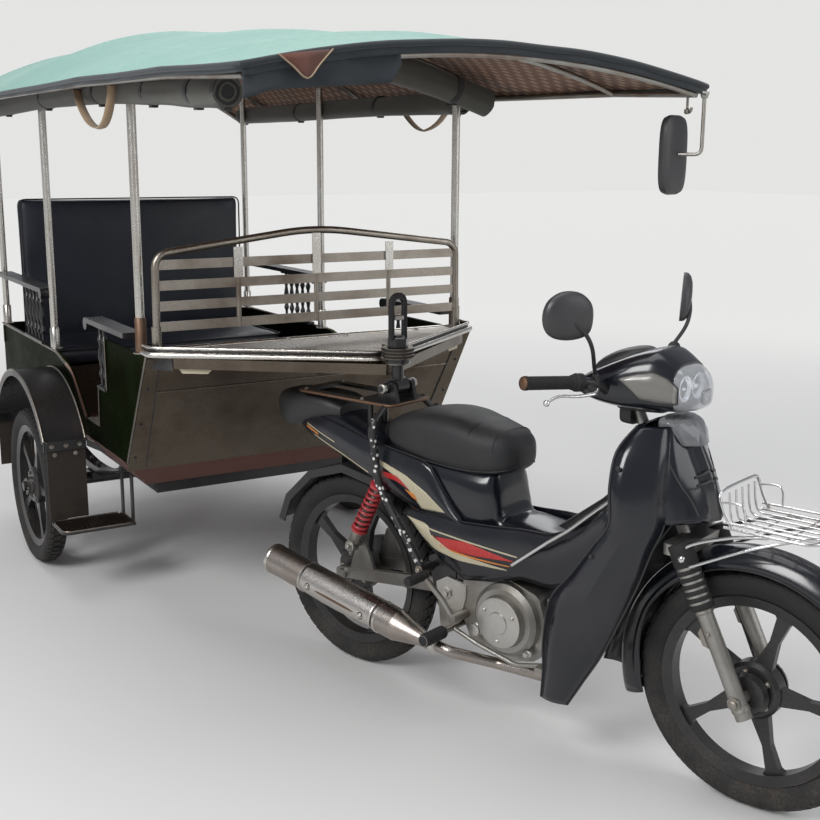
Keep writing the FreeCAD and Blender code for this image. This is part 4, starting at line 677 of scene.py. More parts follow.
class RICKSHAW_OT_stage(bpy.types.Operator):
    """Floor, studio light and camera"""
    bl_idname = "rickshaw.stage"
    bl_label = "Stage"

    def execute(self, context):
        scene = context.scene
        half = 40.0
        mesh = bpy.data.meshes.new("floor")
        corners = [(-half, -half, 0), (half, -half, 0), (half, half, 0), (-half, half, 0)]
        mesh.from_pydata(corners, [], [(0, 1, 2, 3)])
        ground, tree, shader = new_material("pale floor", Roughness=0.9, Emission_Strength=1.0)
        place = own_place(tree)
        away = node(tree, "ShaderNodeVectorMath", {0: place}, operation="LENGTH").outputs["Value"]
        fade = node(tree, "ShaderNodeMapRange", {"Value": away, "From Min": 2.6, "From Max": 7.5},
                    interpolation_type="SMOOTHSTEP").outputs["Result"]
        feed(tree, mix(tree, fade, (0.66, 0.655, 0.645), (0.0, 0.0, 0.0)), shader, "Base Color")
        feed(tree, mix(tree, fade, (0.0, 0.0, 0.0), BACKGROUND), shader, "Emission Color")
        mesh.materials.append(ground)
        plane = bpy.data.objects.new("floor", mesh)
        scene.collection.objects.link(plane)
        for name, place, size, power in LIGHTS:
            data = bpy.data.lights.new(name, "AREA")
            data.size = size
            data.energy = power
            lamp = bpy.data.objects.new(name, data)
            lamp.location = place
            lamp.rotation_euler = (LIGHT_AIM - lamp.location).to_track_quat("-Z", "Y").to_euler()
            scene.collection.objects.link(lamp)
        world = bpy.data.worlds.new("studio")
        world.use_nodes = True
        tree = world.node_tree
        tree.nodes.clear()
        path = tree.nodes.new("ShaderNodeLightPath")
        seen = maths(tree, "MAXIMUM", path.outputs["Is Camera Ray"], path.outputs["Is Transmission Ray"])
        ambient = node(tree, "ShaderNodeBackground", {"Color": (0.9, 0.93, 1.0, 1), "Strength": 0.34})
        shown = node(tree, "ShaderNodeBackground", {"Color": (*BACKGROUND, 1), "Strength": 1.0})
        both = node(tree, "ShaderNodeMixShader", {0: seen, 1: ambient.outputs[0], 2: shown.outputs[0]})
        node(tree, "ShaderNodeOutputWorld", {"Surface": both.outputs[0]})
        scene.world = world
        data = bpy.data.cameras.new("camera")
        data.lens = scene.rickshaw_sizes.camera_lens
        data.sensor_width = 36
        data.clip_end = 200
        camera = bpy.data.objects.new("camera", data)
        turn = math.radians(CAMERA_HEADING)
        down = math.radians(CAMERA_DIP)
        look = Vector((math.cos(turn) * math.cos(down), math.sin(turn) * math.cos(down), -math.sin(down)))
        roll = Matrix.Rotation(math.radians(CAMERA_ROLL), 4, look)
        facing = look.to_track_quat("-Z", "Y").to_matrix().to_4x4()
        camera.matrix_world = Matrix.Translation(car(*CAMERA_PLACE)) @ roll @ facing
        scene.collection.objects.link(camera)
        scene.camera = camera
        scene.view_settings.view_transform = "Standard"
        return {"FINISHED"}


FINISH = {
    "armrests": "black", "axle": "black", "bar_mirrors": "plastic", "body_cowls": "gloss", "canopy": "mint",
    "canopy_posts": "bright", "chain_case": "black", "chassis_frame": "black", "coupling_post": "black",
    "cowl_rail": "chrome", "curtain_rolls": "curtain", "deck_rim": "bright", "drawbar": "stainless",
    "engine": "alloy", "exhaust": "can", "fenders": "black", "floor_pan": "rust_red",
    "foot_controls": "zinc", "fork": "alloy", "front_bench_box": "stainless", "front_deck": "worn",
    "front_fender": "gloss", "front_panel": "stainless", "front_rail": "rust_red",
    "front_seat_cushion": "vinyl", "handlebar": "plastic", "headlight": "lens", "kick_starter": "zinc",
    "headlight_cover": "gloss", "leaf_springs": "black", "leg_shield": "gloss", "moto_frame": "black",
    "mud_flaps": "brown_rubber", "rear_backrest": "vinyl", "rear_bench_box": "stainless",
    "rear_fender": "plastic", "rear_panel": "quarter", "rear_rack": "black", "rear_seat_cushion": "vinyl",
    "rear_shocks": "spring", "roof_frame": "zinc", "roof_mirror": "plastic", "seat": "seat",
    "side_panels": "quarter", "side_stand": "black", "side_steps": "black", "slatted_back": "worn",
    "swingarm": "alloy", "tail_lamp": "red", "wire_carrier": "chrome",
}


class RICKSHAW_OT_finishes(bpy.types.Operator):
    """Materials of the solids that stay as they are"""
    bl_idname = "rickshaw.finishes"
    bl_label = "Finishes"

    def execute(self, context):
        make_materials(context.scene.rickshaw_colours)
        for name, obj in NODES.items():
            finish = FINISH.get(name) or ("tyre" if name.endswith("_tyre") else "wheel")
            obj.data.materials.clear()
            obj.data.materials.append(M[finish])
        return {"FINISHED"}


# The roof's stations: x ahead of the axle, half width, eave height, crown height
ROOF = mm((
    (-1150, 665, 1664, 1864),
    (-809, 693, 1678, 1906),
    (100, 700, 1678, 1910),
    (979, 700, 1675, 1843),
    (1600, 679, 1666, 1784),
    (1985, 644, 1656, 1728),
))


# Heights of the hems along the sides and ends, distance of cloth and lining, thickness of a hem
SIDE_HEM = 0.014
END_HEM = 0.022
LINING_GAP = 0.006
HEM_THICK = 0.0015


def roof_point(x, side, lower=0.0):
    """Point of the roof: side runs from -1 at the right eave to 1 at the left."""
    _, half, eave, crown = table_at(ROOF, x)
    rise = crown - eave
    radius = (half * half + rise * rise) / (2 * rise)
    y = half * side
    return Vector((x, y, crown - radius + math.sqrt(max(0.0, radius * radius - y * y)) - lower))


class RICKSHAW_OT_canopy(bpy.types.Operator):
    """Roof cloth with its lining, bound edge and valances"""
    bl_idname = "rickshaw.canopy"
    bl_label = "Canopy"

    def execute(self, context):
        sag = context.scene.rickshaw_sizes.sag
        stations = [row[0] for row in ROOF]
        across = 56

        def dip(x):
            for low, high in zip(stations, stations[1:]):
                if low <= x <= high:
                    return sag * math.sin(math.pi * (x - low) / (high - low))
            return 0.0

        def surface(x, side, lower):
            point = roof_point(x, side, lower)
            ripple = 0.003 * noise.noise(Vector((x * 3, side * 4, 0.5)))
            point.z -= dip(x) * (1 - 0.8 * side ** 4) + ripple * (1 - 0.7 * side ** 4)
            return point

        xs = [stations[0] + (stations[-1] - stations[0]) * i / 90 for i in range(91)]
        top = Build("carriage")
        for lower, number in ((0.0, 0), (LINING_GAP, 1)):
            rows = [[surface(x, -1 + 2 * k / across, lower) for k in range(across + 1)] for x in xs]
            top.grid(rows, number)
        cloth_piece = top.make("canopy_cloth", ["mint", "lining"], ["canopy"], angle=60)

        edge = Build("carriage")
        middle = LINING_GAP / 2
        shares = [2 * k / across for k in range(1, across)]
        outline = [surface(x, -1, middle) for x in xs]
        outline += [surface(xs[-1], -1 + share, middle) for share in shares]
        outline += [surface(x, 1, middle) for x in xs[::-1]]
        outline += [surface(xs[0], 1 - share, middle) for share in shares]
        edge.tube(outline, 0.008, 8, closed=True)
        edge.make("canopy_binding", ["navy"], angle=60)

        skirt = Build("carriage")
        drops = (0, 0.3, 0.65, 1)
        for side in (-1, 1):
            rows = []
            for x in xs:
                point = surface(x, side, 0.004)
                wave = 0.004 * math.sin(x * 19) + 0.003 * noise.noise(Vector((x * 7, side, 2)))
                rows.append([point + Vector((0, side * (0.002 + wave * t), -SIDE_HEM * t)) for t in drops])
            skirt.grid(rows)
        sides = skirt.make("side_valances", ["navy"], thick=HEM_THICK, angle=60)
        ends = Build("carriage")
        for x, push in ((xs[-1], 1), (xs[0], -1)):
            rows = []
            for k in range(across + 1):
                side = -1 + 2 * k / across
                point = surface(x, side, 0.004)
                wave = 0.004 * math.sin(side * 22) + 0.003 * noise.noise(Vector((side * 5, x, 7)))
                rows.append([point + Vector((push * wave * t, 0, -END_HEM * t)) for t in drops])
            ends.grid(rows)
        fringe = ends.make("end_valances", ["navy"], thick=HEM_THICK, angle=60)
        return {"FINISHED"}


class RICKSHAW_OT_curtains(bpy.types.Operator):
    """Rolled curtains with spiral ends, creases and ties"""
    bl_idname = "rickshaw.curtains"
    bl_label = "Curtains"

    def execute(self, context):
        radius = context.scene.rickshaw_sizes.roll
        y = 0.593
        z = 1.678
        rolls = Build("carriage")
        ties = Build("carriage")
        tie_spots = []
        right = spline([(-0.925, -y, z - 0.020), (-0.5, -y, z - 0.026), (0.0, -y, z - 0.020),
                        (0.5, -y, z - 0.022), (0.979, -y, z - 0.031), (1.30, -y * 0.993, z - 0.045),
                        (1.60, -y * 0.985, z - 0.060), (1.745, -y * 0.972, z - 0.066)], 14)
        left = spline([(-0.925, y, z - 0.020), (-0.4, y, z - 0.024), (0.2, y, z - 0.020), (0.6, y, z - 0.024),
                       (0.925, y, z - 0.031)], 18)
        for line, seed, shares in ((right, 1, (0.03, 0.2, 0.36, 0.53, 0.7, 0.84, 0.97)),
                                   (left, 2, (0.04, 0.3, 0.6, 0.95))):
            self.roll(rolls, line, radius, seed)
            for share in shares:
                i = min(len(line) - 2, max(1, int(len(line) * share)))
                tie_spots.append((line[i], (line[i + 1] - line[i - 1]).normalized(), radius))
        thick = radius * 1.22
        front = self.bow_line()
        self.roll(rolls, front, thick, 3)
        for share in (0.10, 0.36, 0.64, 0.90):
            i = int(len(front) * share)
            tie_spots.append((front[i], (front[i + 1] - front[i - 1]).normalized(), thick))
        for spot, along, size in tie_spots:
            wide = size * 1000
            ties.lathe(spot - along * 0.010, along, [(0, wide), (1, wide * 1.045), (19, wide * 1.045),
                                                     (20, wide)])
            ties.block(spot + Vector((-0.011, -0.009, -size - 0.006)),
                       spot + Vector((0.011, 0.009, -size + 0.002)))
        piece = rolls.make("curtain_cloth_rolls", ["curtain", "tie"], ["curtain_rolls"],
                           angle=50)
        ties.make("curtain_ties", ["tie"])
        self.band()
        self.straps()
        return {"FINISHED"}

    def bow_line(self):
        """Centre line of the front roll, an arc below the roof."""
        spots = [Vector((1.054, -0.504, 1.680)), Vector((1.054, 0.0, 1.765)), Vector((1.054, 0.602, 1.642))]
        line = []
        for i in range(61):
            t = i / 60
            weights = (2 * (t - 0.5) * (t - 1), 4 * t * (1 - t), 2 * t * (t - 0.5))
            line.append(sum((spot * weight for spot, weight in zip(spots, weights)), Vector()))
        return line

    def band(self):
        """Dark strip of cloth that hangs from the roof's front edge, and the bound flap beside it."""
        rows = []
        for i in range(49):
            share = i / 48
            y = -0.640 + 0.372 * share
            top = roof_point(1.980, y / 0.644, 0.004).z
            foot = table_at(mm(((-640, 1585), (-575, 1606), (-450, 1616), (-293, 1628), (-268, 1668))), y)[1]
            wave = 0.006 * math.sin(y * 40) + 0.005 * noise.noise(Vector((y * 9, 0, 4)))
            rows.append([Vector((1.976 + wave * k / 6, y, top + (foot - top) * k / 6)) for k in range(7)])
        cloth_band = Build("carriage")
        cloth_band.grid(rows)
        hung = cloth_band.make("front_band", ["navy"], thick=HEM_THICK, angle=60)
        flap = Build("carriage")
        right = Vector((1.992, -0.566, 1.676))
        left = Vector((1.992, -0.441, 1.692))
        tip = Vector((1.998, -0.503, 1.630))
        bulge = Vector((0.003, 0, 0))
        flap.grid([[right.lerp(tip, t), right.lerp(left, 0.5).lerp(tip, t) + bulge, left.lerp(tip, t)]
                   for t in (0, 0.25, 0.5, 0.75, 0.98)])
        line = spline([right, right.lerp(tip, 0.5), tip, tip.lerp(left, 0.5), left], 4)
        flap.tube(line, 0.0035, 6, number=1, flat=0.5)
        hung = flap.make("front_flap", ["flap", "strap"], thick=0.0012, angle=60)

    def straps(self):
        """Webbing loops that hang from the roof rails."""
        straps = Build("carriage")
        for y, spots in mm(((-640, ((760, 1660), (800, 1610), (880, 1563), (973, 1546), (1040, 1570),
                                    (1086, 1623), (1096, 1655))),
                            (640, ((440, 1660), (490, 1615), (560, 1575), (620, 1566), (700, 1590),
                                   (770, 1640), (784, 1660))))):
            line = spline([(x, y, z) for x, z in spots], 6)
            straps.grid([[p + Vector((0, -0.012, 0.002)), p + Vector((0, 0, -0.001)),
                          p + Vector((0, 0.012, 0.002))] for p in line])
        loops = straps.make("strap_loops", ["strap"], thick=0.0025, angle=60)

    def roll(self, build, line, radius, seed):
        """Wound cloth: a creased tube whose section is a spiral step."""
        sides = 28
        rings = []
        for i, spot in enumerate(line):
            back = line[max(0, i - 1)]
            on = line[min(len(line) - 1, i + 1)]
            along = (on - back).normalized()
            across = along.cross(Vector((0, 0, 1))).normalized()
            up = across.cross(along)
            ring = []
            for k in range(sides):
                angle = 2 * math.pi * k / sides
                spot_of_noise = Vector((i * 0.12, math.cos(angle) * 1.4, math.sin(angle) * 1.4 + seed * 9))
                size = radius * 0.94 + 0.0035 * (k / sides) + 0.0035 * noise.noise(spot_of_noise)
                ring.append(on_circle(spot, across, up, size, angle))
            rings.append(ring)
        build.rings(rings, caps=False)
        for ring, spot, inward in ((rings[0], line[0], line[1] - line[0]),
                                   (rings[-1], line[-1], line[-2] - line[-1])):
            step = inward.normalized()
            coil = [ring]
            for scale, depth in ((0.84, 0.0), (0.78, 0.012), (0.62, 0.012), (0.60, 0.0), (0.46, 0.0),
                                 (0.44, 0.014), (0.24, 0.014)):
                coil.append([spot + (p - spot) * scale + step * depth for p in ring])
            build.rings(coil, caps=False)
            build.add(coil[-1], [tuple(range(sides))], 1)


class RICKSHAW_OT_cushions(bpy.types.Operator):
    """Bench cushions and backrest, blown up as cloth, with piped seams"""
    bl_idname = "rickshaw.cushions"
    bl_label = "Cushions"

    def execute(self, context):
        inset = Vector((0.007, 0.007, 0.007))
        for node_name, cap in (("rear_seat_cushion", 0.012), ("front_seat_cushion", 0.010),
                               ("rear_backrest", 0.012)):
            low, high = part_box(node_name)
            obj = self.pad(node_name, low + inset, high - inset)
            self.puff(obj, cap)
            obj.data.shade_smooth()
            settle(obj, "carriage", [node_name])
            self.piping(node_name, low, high)
        return {"FINISHED"}

    def pad(self, name, low, high):
        """Box with soft edges."""
        mesh = bpy.data.meshes.new(name + "_cover")
        work = bmesh.new()
        bmesh.ops.create_cube(work, size=1.0)
        size = high - low
        bmesh.ops.scale(work, vec=size, verts=work.verts)
        bmesh.ops.translate(work, vec=(low + high) / 2, verts=work.verts)
        bmesh.ops.bevel(work, geom=work.edges[:], offset=0.018, segments=4, affect="EDGES", profile=0.6)
        work.to_mesh(mesh)
        work.free()
        mesh.materials.append(M["vinyl"])
        obj = bpy.data.objects.new(name + "_cover", mesh)
        bpy.context.scene.collection.objects.link(obj)
        return obj

    def puff(self, obj, cap):
        """Swells the cover under pressure, holds it to a cap, and keeps the result."""
        scene = bpy.context.scene
        remesh = obj.modifiers.new("Voxels", "REMESH")
        remesh.mode = "VOXEL"
        remesh.voxel_size = 0.016
        self.apply(obj)
        rest = [v.co.copy() for v in obj.data.vertices]
        blow = obj.modifiers.new("Cloth", "CLOTH")
        blow.settings.use_pressure = True
        blow.settings.uniform_pressure_force = 3.0
        blow.settings.effector_weights.gravity = 0
        blow.settings.quality = 5
        blow.collision_settings.use_collision = False
        blow.point_cache.frame_start = 1
        blow.point_cache.frame_end = 20
        for frame_number in range(1, 19):
            scene.frame_set(frame_number)
        self.apply(obj)
        scene.frame_set(1)
        for vertex, start in zip(obj.data.vertices, rest):
            move = vertex.co - start
            if move.length > cap:
                vertex.co = start + move.normalized() * cap
        smooth = obj.modifiers.new("Smooth", "SUBSURF")
        smooth.levels = smooth.render_levels = 1

    def apply(self, obj):
        """Replaces the mesh by what its modifiers make of it."""
        graph = bpy.context.evaluated_depsgraph_get()
        made = bpy.data.meshes.new_from_object(obj.evaluated_get(graph))
        obj.modifiers.clear()
        obj.data = made

    def piping(self, name, low, high):
        """Cord along the seam about the face that one leans or sits on."""
        build = Build("carriage", Matrix.Identity(4))
        inset = Vector((0.013, 0.013, 0.013))
        x0, y0, z0 = low + inset
        x1, y1, z1 = high - inset
        if name == "rear_backrest":
            x = x1 + 0.005
            loop = [(x, y0, z0), (x, y1, z0), (x, y1, z1), (x, y0, z1)]
        else:
            z = z1 + 0.004
            loop = [(x0, y0, z), (x1, y0, z), (x1, y1, z), (x0, y1, z)]
        build.tube(rounded(loop, 0.03, closed=True), 0.0032, 8, closed=True)
        build.make(name + "_piping", ["piping"], angle=60)


# Tread of a kind of tyre: blocks round it, a block's share of its pitch, how much it slants, and the bands
# across the tyre that the rows of blocks lie in
TREADS = {
    "knobbly": (60, 0.62, 0.0, ((-0.78, -0.42), (-0.3, 0.3), (0.42, 0.78))),
    "road": (48, 0.7, 0.012, ((-0.86, -0.5), (-0.42, -0.06), (0.06, 0.42), (0.5, 0.86))),
}


def tread_ring(build, centre, radius, half, kind):
    """Tyre with raised tread blocks, turned about a line across the vehicle."""
    rows = [(-half * 0.40, radius - 0.071), (-half * 0.52, radius - 0.064), (-half * 0.86, radius - 0.046),
            (-half * 0.985, radius - 0.031), (-half * 0.93, radius - 0.017), (-half * 0.72, radius - 0.0085),
            (-half * 0.4, radius - 0.0055), (0, radius - 0.005)]
    rows += [(-d, r) for d, r in rows[::-1][1:]]
    sides = 96

    def spot(d, r, a):
        return centre + Vector((-r * math.cos(a), d, r * math.sin(a)))

    rings = [[spot(d, r, 2 * math.pi * k / sides) for k in range(sides)] for d, r in rows]
    build.rings(rings, caps=False)
    build.rings([rings[-1], rings[0]], caps=False)
    count, share, slant, bands = TREADS[kind]
    wide = 2 * math.pi / count * share
    for n in range(count):
        for b, (low, high) in enumerate(bands):
            start = 2 * math.pi * (n + (0.5 if b % 2 else 0)) / count
            skew = slant * (low + high) / radius
            corners = []
            for lift in (-0.006, 0):
                for d, a in ((low, start), (high, start + skew), (high, start + wide + skew),
                             (low, start + wide)):
                    drop = 0.017 * abs(d) ** 3
                    corners.append(spot(d * half, radius - drop + lift, a))
            build.add(corners, BOX_FACES[1:])


# Wheels: name, body, centre, half width and kind of tread
WHEELS = (
    ("carriage_right", "carriage_wheel_right", (0.0, -0.648, WHEEL_RADIUS), 0.038, "knobbly"),
    ("carriage_left", "carriage_wheel_left", (0.0, 0.648, WHEEL_RADIUS), 0.038, "knobbly"),
    ("rear", "rear_wheel", (0.0, 0.0, WHEEL_RADIUS), 0.035, "road"),
    ("front", "front_wheel", (WHEELBASE, 0.0, WHEEL_RADIUS), 0.035, "road"),
)


class RICKSHAW_OT_tyres(bpy.types.Operator):
    """Tyres with their tread, valves and hub bolts"""
    bl_idname = "rickshaw.tyres"
    bl_label = "Tyres"

    def execute(self, context):
        for name, body, centre, half, kind in WHEELS:
            hub = Vector(centre)
            build = Build(body)
            tread_ring(build, hub, WHEEL_RADIUS, half, kind)
            build.make(name + "_tyre_tread", ["tyre"], [name + "_tyre"], angle=30)
            trim = Build(body)
            for face in (-1, 1):
                trim.bolt_ring(hub + Vector((0, face * 0.024, 0)), face, 0.047, 5, 0.005, math.pi / 5)
                trim.lathe(hub + Vector((0, face * 0.027, 0)), (0, face, 0), [(0, 33), (4, 33), (6, 30)], 24)
            trim.lathe(hub + Vector((0.196, 0.006, 0.02)), (-1, 0, 0), [(0, 5), (22, 5), (24, 3), (30, 3)],
                       10)
            trim.make(name + "_wheel_trim", ["zinc"])
        return {"FINISHED"}


def smooth_rows(rows, steps=6):
    """Rows of a table with more of them between, on a smooth line through the given ones."""
    made = []
    last = len(rows) - 1
    for i in range(last):
        p0, p1, p2, p3 = rows[max(0, i - 1)], rows[i], rows[i + 1], rows[min(last, i + 2)]
        for k in range(steps):
            t = k / steps
            made.append([0.5 * (2 * b + (c - a) * t + (2 * a - 5 * b + 4 * c - d) * t * t
                                + (3 * b - a - 3 * c + d) * t ** 3) for a, b, c, d in zip(p0, p1, p2, p3)])
    return made + [list(rows[-1])]


def hull_ring(row, power=0.7, count=32):
    """Rounded section across the vehicle from x, half width, underside, widest height and top."""
    x, half, low, widest, top = row
    ring = []
    for k in range(count):
        angle = 2 * math.pi * k / count
        across = math.copysign(abs(math.cos(angle)) ** power, math.cos(angle))
        rise = math.copysign(abs(math.sin(angle)) ** power, math.sin(angle))
        ring.append((x, half * across, widest + rise * ((top - widest) if rise > 0 else (widest - low))))
    return ring


def section_y(row, z, power=0.7):
    """Half width of a hull's section at a height."""
    _, half, low, widest, top = row
    share = min(1.0, abs(z - widest) / ((top - widest) if z > widest else (widest - low)))
    sine = share ** (1 / power)
    return half * (1 - sine * sine) ** (power / 2)


def hull(build, rows, steps=6, power=0.7, count=32, number=0):
    """Closed skin over a table of sections."""
    build.rings([hull_ring(row, power, count) for row in smooth_rows(rows, steps)], number=number)


# Columns up one side of the shield: rear edge, crease and front corner, each as x and distance out
SHIELD_HEIGHTS = mm((166, 250, 330, 440, 520, 600, 664, 745, 822, 877))
SHIELD_REAR = mm(((752, 150), (764, 163), (768, 172), (790, 180), (850, 184), (905, 187),
               (946, 190), (940, 184), (936, 152), (958, 101)))
SHIELD_CREASE = mm(((790, 158), (822, 173), (850, 184), (884, 193), (922, 194), (962, 186),
                 (994, 167), (990, 158), (990, 128), (998, 82)))
SHIELD_FRONT = mm(((826, 146), (878, 157), (926, 163), (975, 160), (1006, 152), (1028, 137),
                (1046, 118), (1042, 110), (1034, 90), (1018, 60)))
# The shield's face above the fork: fold and ridge
SHIELD_FOLD = mm(((1106, 57), (1082, 55), (1048, 46), (1024, 30)))
SHIELD_RIDGE = mm(((1124, 0), (1100, 0), (1066, 0), (1042, 0)))


def column(places, heights, side, steps=5):
    """Smooth line up through places at their heights, on one side."""
    return spline([(x, side * y, z) for (x, y), z in zip(places, heights)], steps)


class RICKSHAW_OT_shield(bpy.types.Operator):
    """Leg shield: a faceted face that runs down into a wing on each side of the engine"""
    bl_idname = "rickshaw.shield"
    bl_label = "Leg shield"

    def execute(self, context):
        shell = Build("motorcycle")
        seams = Build("motorcycle")
        upper = SHIELD_HEIGHTS[-4:]
        for side in (-1, 1):
            rear = column(SHIELD_REAR, SHIELD_HEIGHTS, side)
            crease = column(SHIELD_CREASE, SHIELD_HEIGHTS, side)
            front = column(SHIELD_FRONT, SHIELD_HEIGHTS, side)
            bulge = Vector((0, side * 0.002, 0))
            shell.grid([[a, a.lerp(b, 0.5) + bulge, b, b.lerp(c, 0.5) + bulge, c]
                        for a, b, c in zip(rear, crease, front)])
            corner = column(SHIELD_FRONT[-4:], upper, side)
            fold = column(SHIELD_FOLD, upper, side)
            ridge = column(SHIELD_RIDGE, upper, side)
            shell.grid([[a, a.lerp(b, 0.5), b, c] for a, b, c in zip(corner, fold, ridge)])
            slant = sided(side, (1000, 83, 872), (1031, 96, 815), (1062, 85, 755), (1085, 67, 715),
                          (1100, 60, 682))
            seams.tube(spline(slant, 6), 0.0026, 6)
            edge = column(SHIELD_REAR[-4:], upper, side)
            wall = [Vector((p.x - 0.006, 0, p.z)) for p in edge]
            shell.grid([[a, b] for a, b in zip(edge, wall)])
            seams.tube(rear, 0.0032, 8)
            seams.tube(front[:31], 0.0030, 8)
            for z, x, tilt in ((0.771, 1.090, 0.006), (0.752, 1.097, 0.004)):
                spot = Vector((x, side * 0.026, z))
                seams.tube([spot + Vector((-0.012, side * 0.020, -tilt)), spot,
                            spot + Vector((0.004, -side * 0.014, tilt))], 0.0042, 8, flat=0.8)
            for x, z in ((0.800, 0.245), (0.905, 0.575), (0.955, 0.790)):
                y = 0.166 if z < 0.3 else (0.190 if z < 0.7 else 0.172)
                seams.bolt((x, side * (y + 0.001), z), (0, side, 0), 0.0045)
        shell.make("leg_shield_shell", ["gloss"], ["leg_shield"], angle=24, thick=0.005,
                   offset=0.0)
        seams.make("leg_shield_seams", ["plastic"])
        lens = Build("motorcycle")
        rings = []
        for z, front, half in mm(((828, 1066, 30), (834, 1080, 46), (862, 1072, 58), (884, 1058, 62),
                               (891, 1046, 56))):
            rings.append([(front, 0, z), (front - 0.006, half * 0.55, z), (front - 0.028, half, z),
                          (0.990, half * 1.05, z), (0.976, 0, z), (0.990, -half * 1.05, z),
                          (front - 0.028, -half, z), (front - 0.006, -half * 0.55, z)])
        lens.rings(rings)
        lens.make("position_lamp", ["lens"], angle=30, bevel=0.0015)
        return {"FINISHED"}


# The covers along one side of the body: x, heights of the top, the crease and the foot, distance out
UPPER_COVER = mm((
    (-225, 752, 730, 704, 44), (-150, 748, 716, 676, 64), (-60, 742, 700, 656, 82), (30, 728, 682, 636, 96),
    (108, 714, 664, 612, 108), (190, 706, 648, 590, 119), (330, 690, 618, 545, 123),
    (359, 677, 610, 542, 123), (398, 627, 590, 538, 122), (436, 580, 560, 536, 120),
    (470, 546, 541, 537, 117),
))
LOWER_COVER = mm((
    (276, 548, 541, 532, 122), (333, 548, 515, 480, 126), (400, 552, 500, 430, 128),
    (478, 550, 490, 394, 127), (571, 556, 486, 409, 120), (647, 564, 490, 433, 112),
    (727, 566, 505, 428, 108), (782, 590, 538, 456, 112), (850, 632, 590, 516, 124),
    (912, 684, 645, 590, 138),
))


def cover_y(rows, x, z):
    """Distance of a side cover from the centre line: it leans in above and below its crease."""
    _, top, crease, foot, out = table_at(rows, x)
    if z > crease:
        return out - 0.012 * min(1.0, (z - crease) / (top - crease)) ** 1.5
    return out - 0.016 * min(1.0, (crease - z) / max(0.001, crease - foot)) ** 1.5


def cover_rows(rows, side, steps=44, lift=0.0, upper=None, lower=None):
    """Grid of points over a cover between two lines, or over the whole of it."""
    first, last = (upper[0][0], upper[-1][0]) if upper else (rows[0][0], rows[-1][0])
    made = []
    for i in range(steps + 1):
        x = first + (last - first) * i / steps
        _, top, _, foot, _ = table_at(rows, x)
        high = table_at(upper, x)[1] if upper else top
        low = table_at(lower, x)[1] if lower else foot
        row = []
        for k in range(11):
            z = low + (high - low) * k / 10
            row.append(Vector((x, side * (cover_y(rows, x, z) + lift), z)))
        made.append(row)
    return made


# Stripes: cover, material, upper line and lower line as x and height in millimetres
STRIPES = (
    (UPPER_COVER, "cream", ((177, 670), (283, 642), (353, 610), (416, 566)),
     ((177, 668), (188, 655), (261, 627), (297, 600), (332, 556), (416, 564))),
    (UPPER_COVER, "scarlet", ((195, 639), (254, 635), (290, 607)), ((195, 622), (246, 619), (290, 605))),
    (UPPER_COVER, "orange", ((279, 602), (311, 596), (322, 578)), ((279, 600), (305, 581), (322, 576))),
    (UPPER_COVER, "cream", ((-122, 683), (-15, 657), (130, 621)), ((-122, 677), (-15, 651), (130, 616))),
    (UPPER_COVER, "cream", ((-145, 713), (-90, 698), (-14, 681)), ((-145, 709), (-90, 694), (-14, 677))),
    (UPPER_COVER, "orange", ((-150, 706), (-95, 690)), ((-150, 698), (-95, 682))),
    (LOWER_COVER, "cream", ((282, 534), (362, 524), (375, 499), (438, 469), (518, 460), (612, 452)),
     ((282, 532), (333, 484), (382, 457), (465, 446), (612, 449))),
    (LOWER_COVER, "scarlet", ((393, 497), (491, 503), (570, 490), (634, 480)),
     ((393, 495), (424, 470), (518, 470), (634, 478))),
    (LOWER_COVER, "orange", ((380, 500), (412, 473), (518, 466), (621, 464)),
     ((380, 496), (410, 469), (518, 461), (621, 461))),
    (LOWER_COVER, "cream", ((361, 523), (372, 515), (646, 495)), ((361, 520), (372, 511), (646, 491))),
)

# Sections of a hull are rows of x, half width, underside, widest height and top
BODY_CORE = mm((
    (-226, 36, 706, 740, 770), (-160, 54, 690, 735, 776), (-60, 70, 668, 715, 764), (60, 82, 645, 695, 735),
    (140, 92, 625, 680, 718), (240, 102, 580, 650, 706), (340, 106, 540, 620, 700),
    (440, 104, 500, 600, 694), (505, 98, 468, 570, 692), (532, 88, 460, 560, 690), (548, 80, 458, 530, 640),
    (562, 84, 457, 520, 575), (610, 88, 458, 515, 566), (700, 84, 474, 525, 562), (780, 86, 505, 548, 584),
    (850, 96, 545, 585, 626), (925, 110, 610, 650, 690),
))


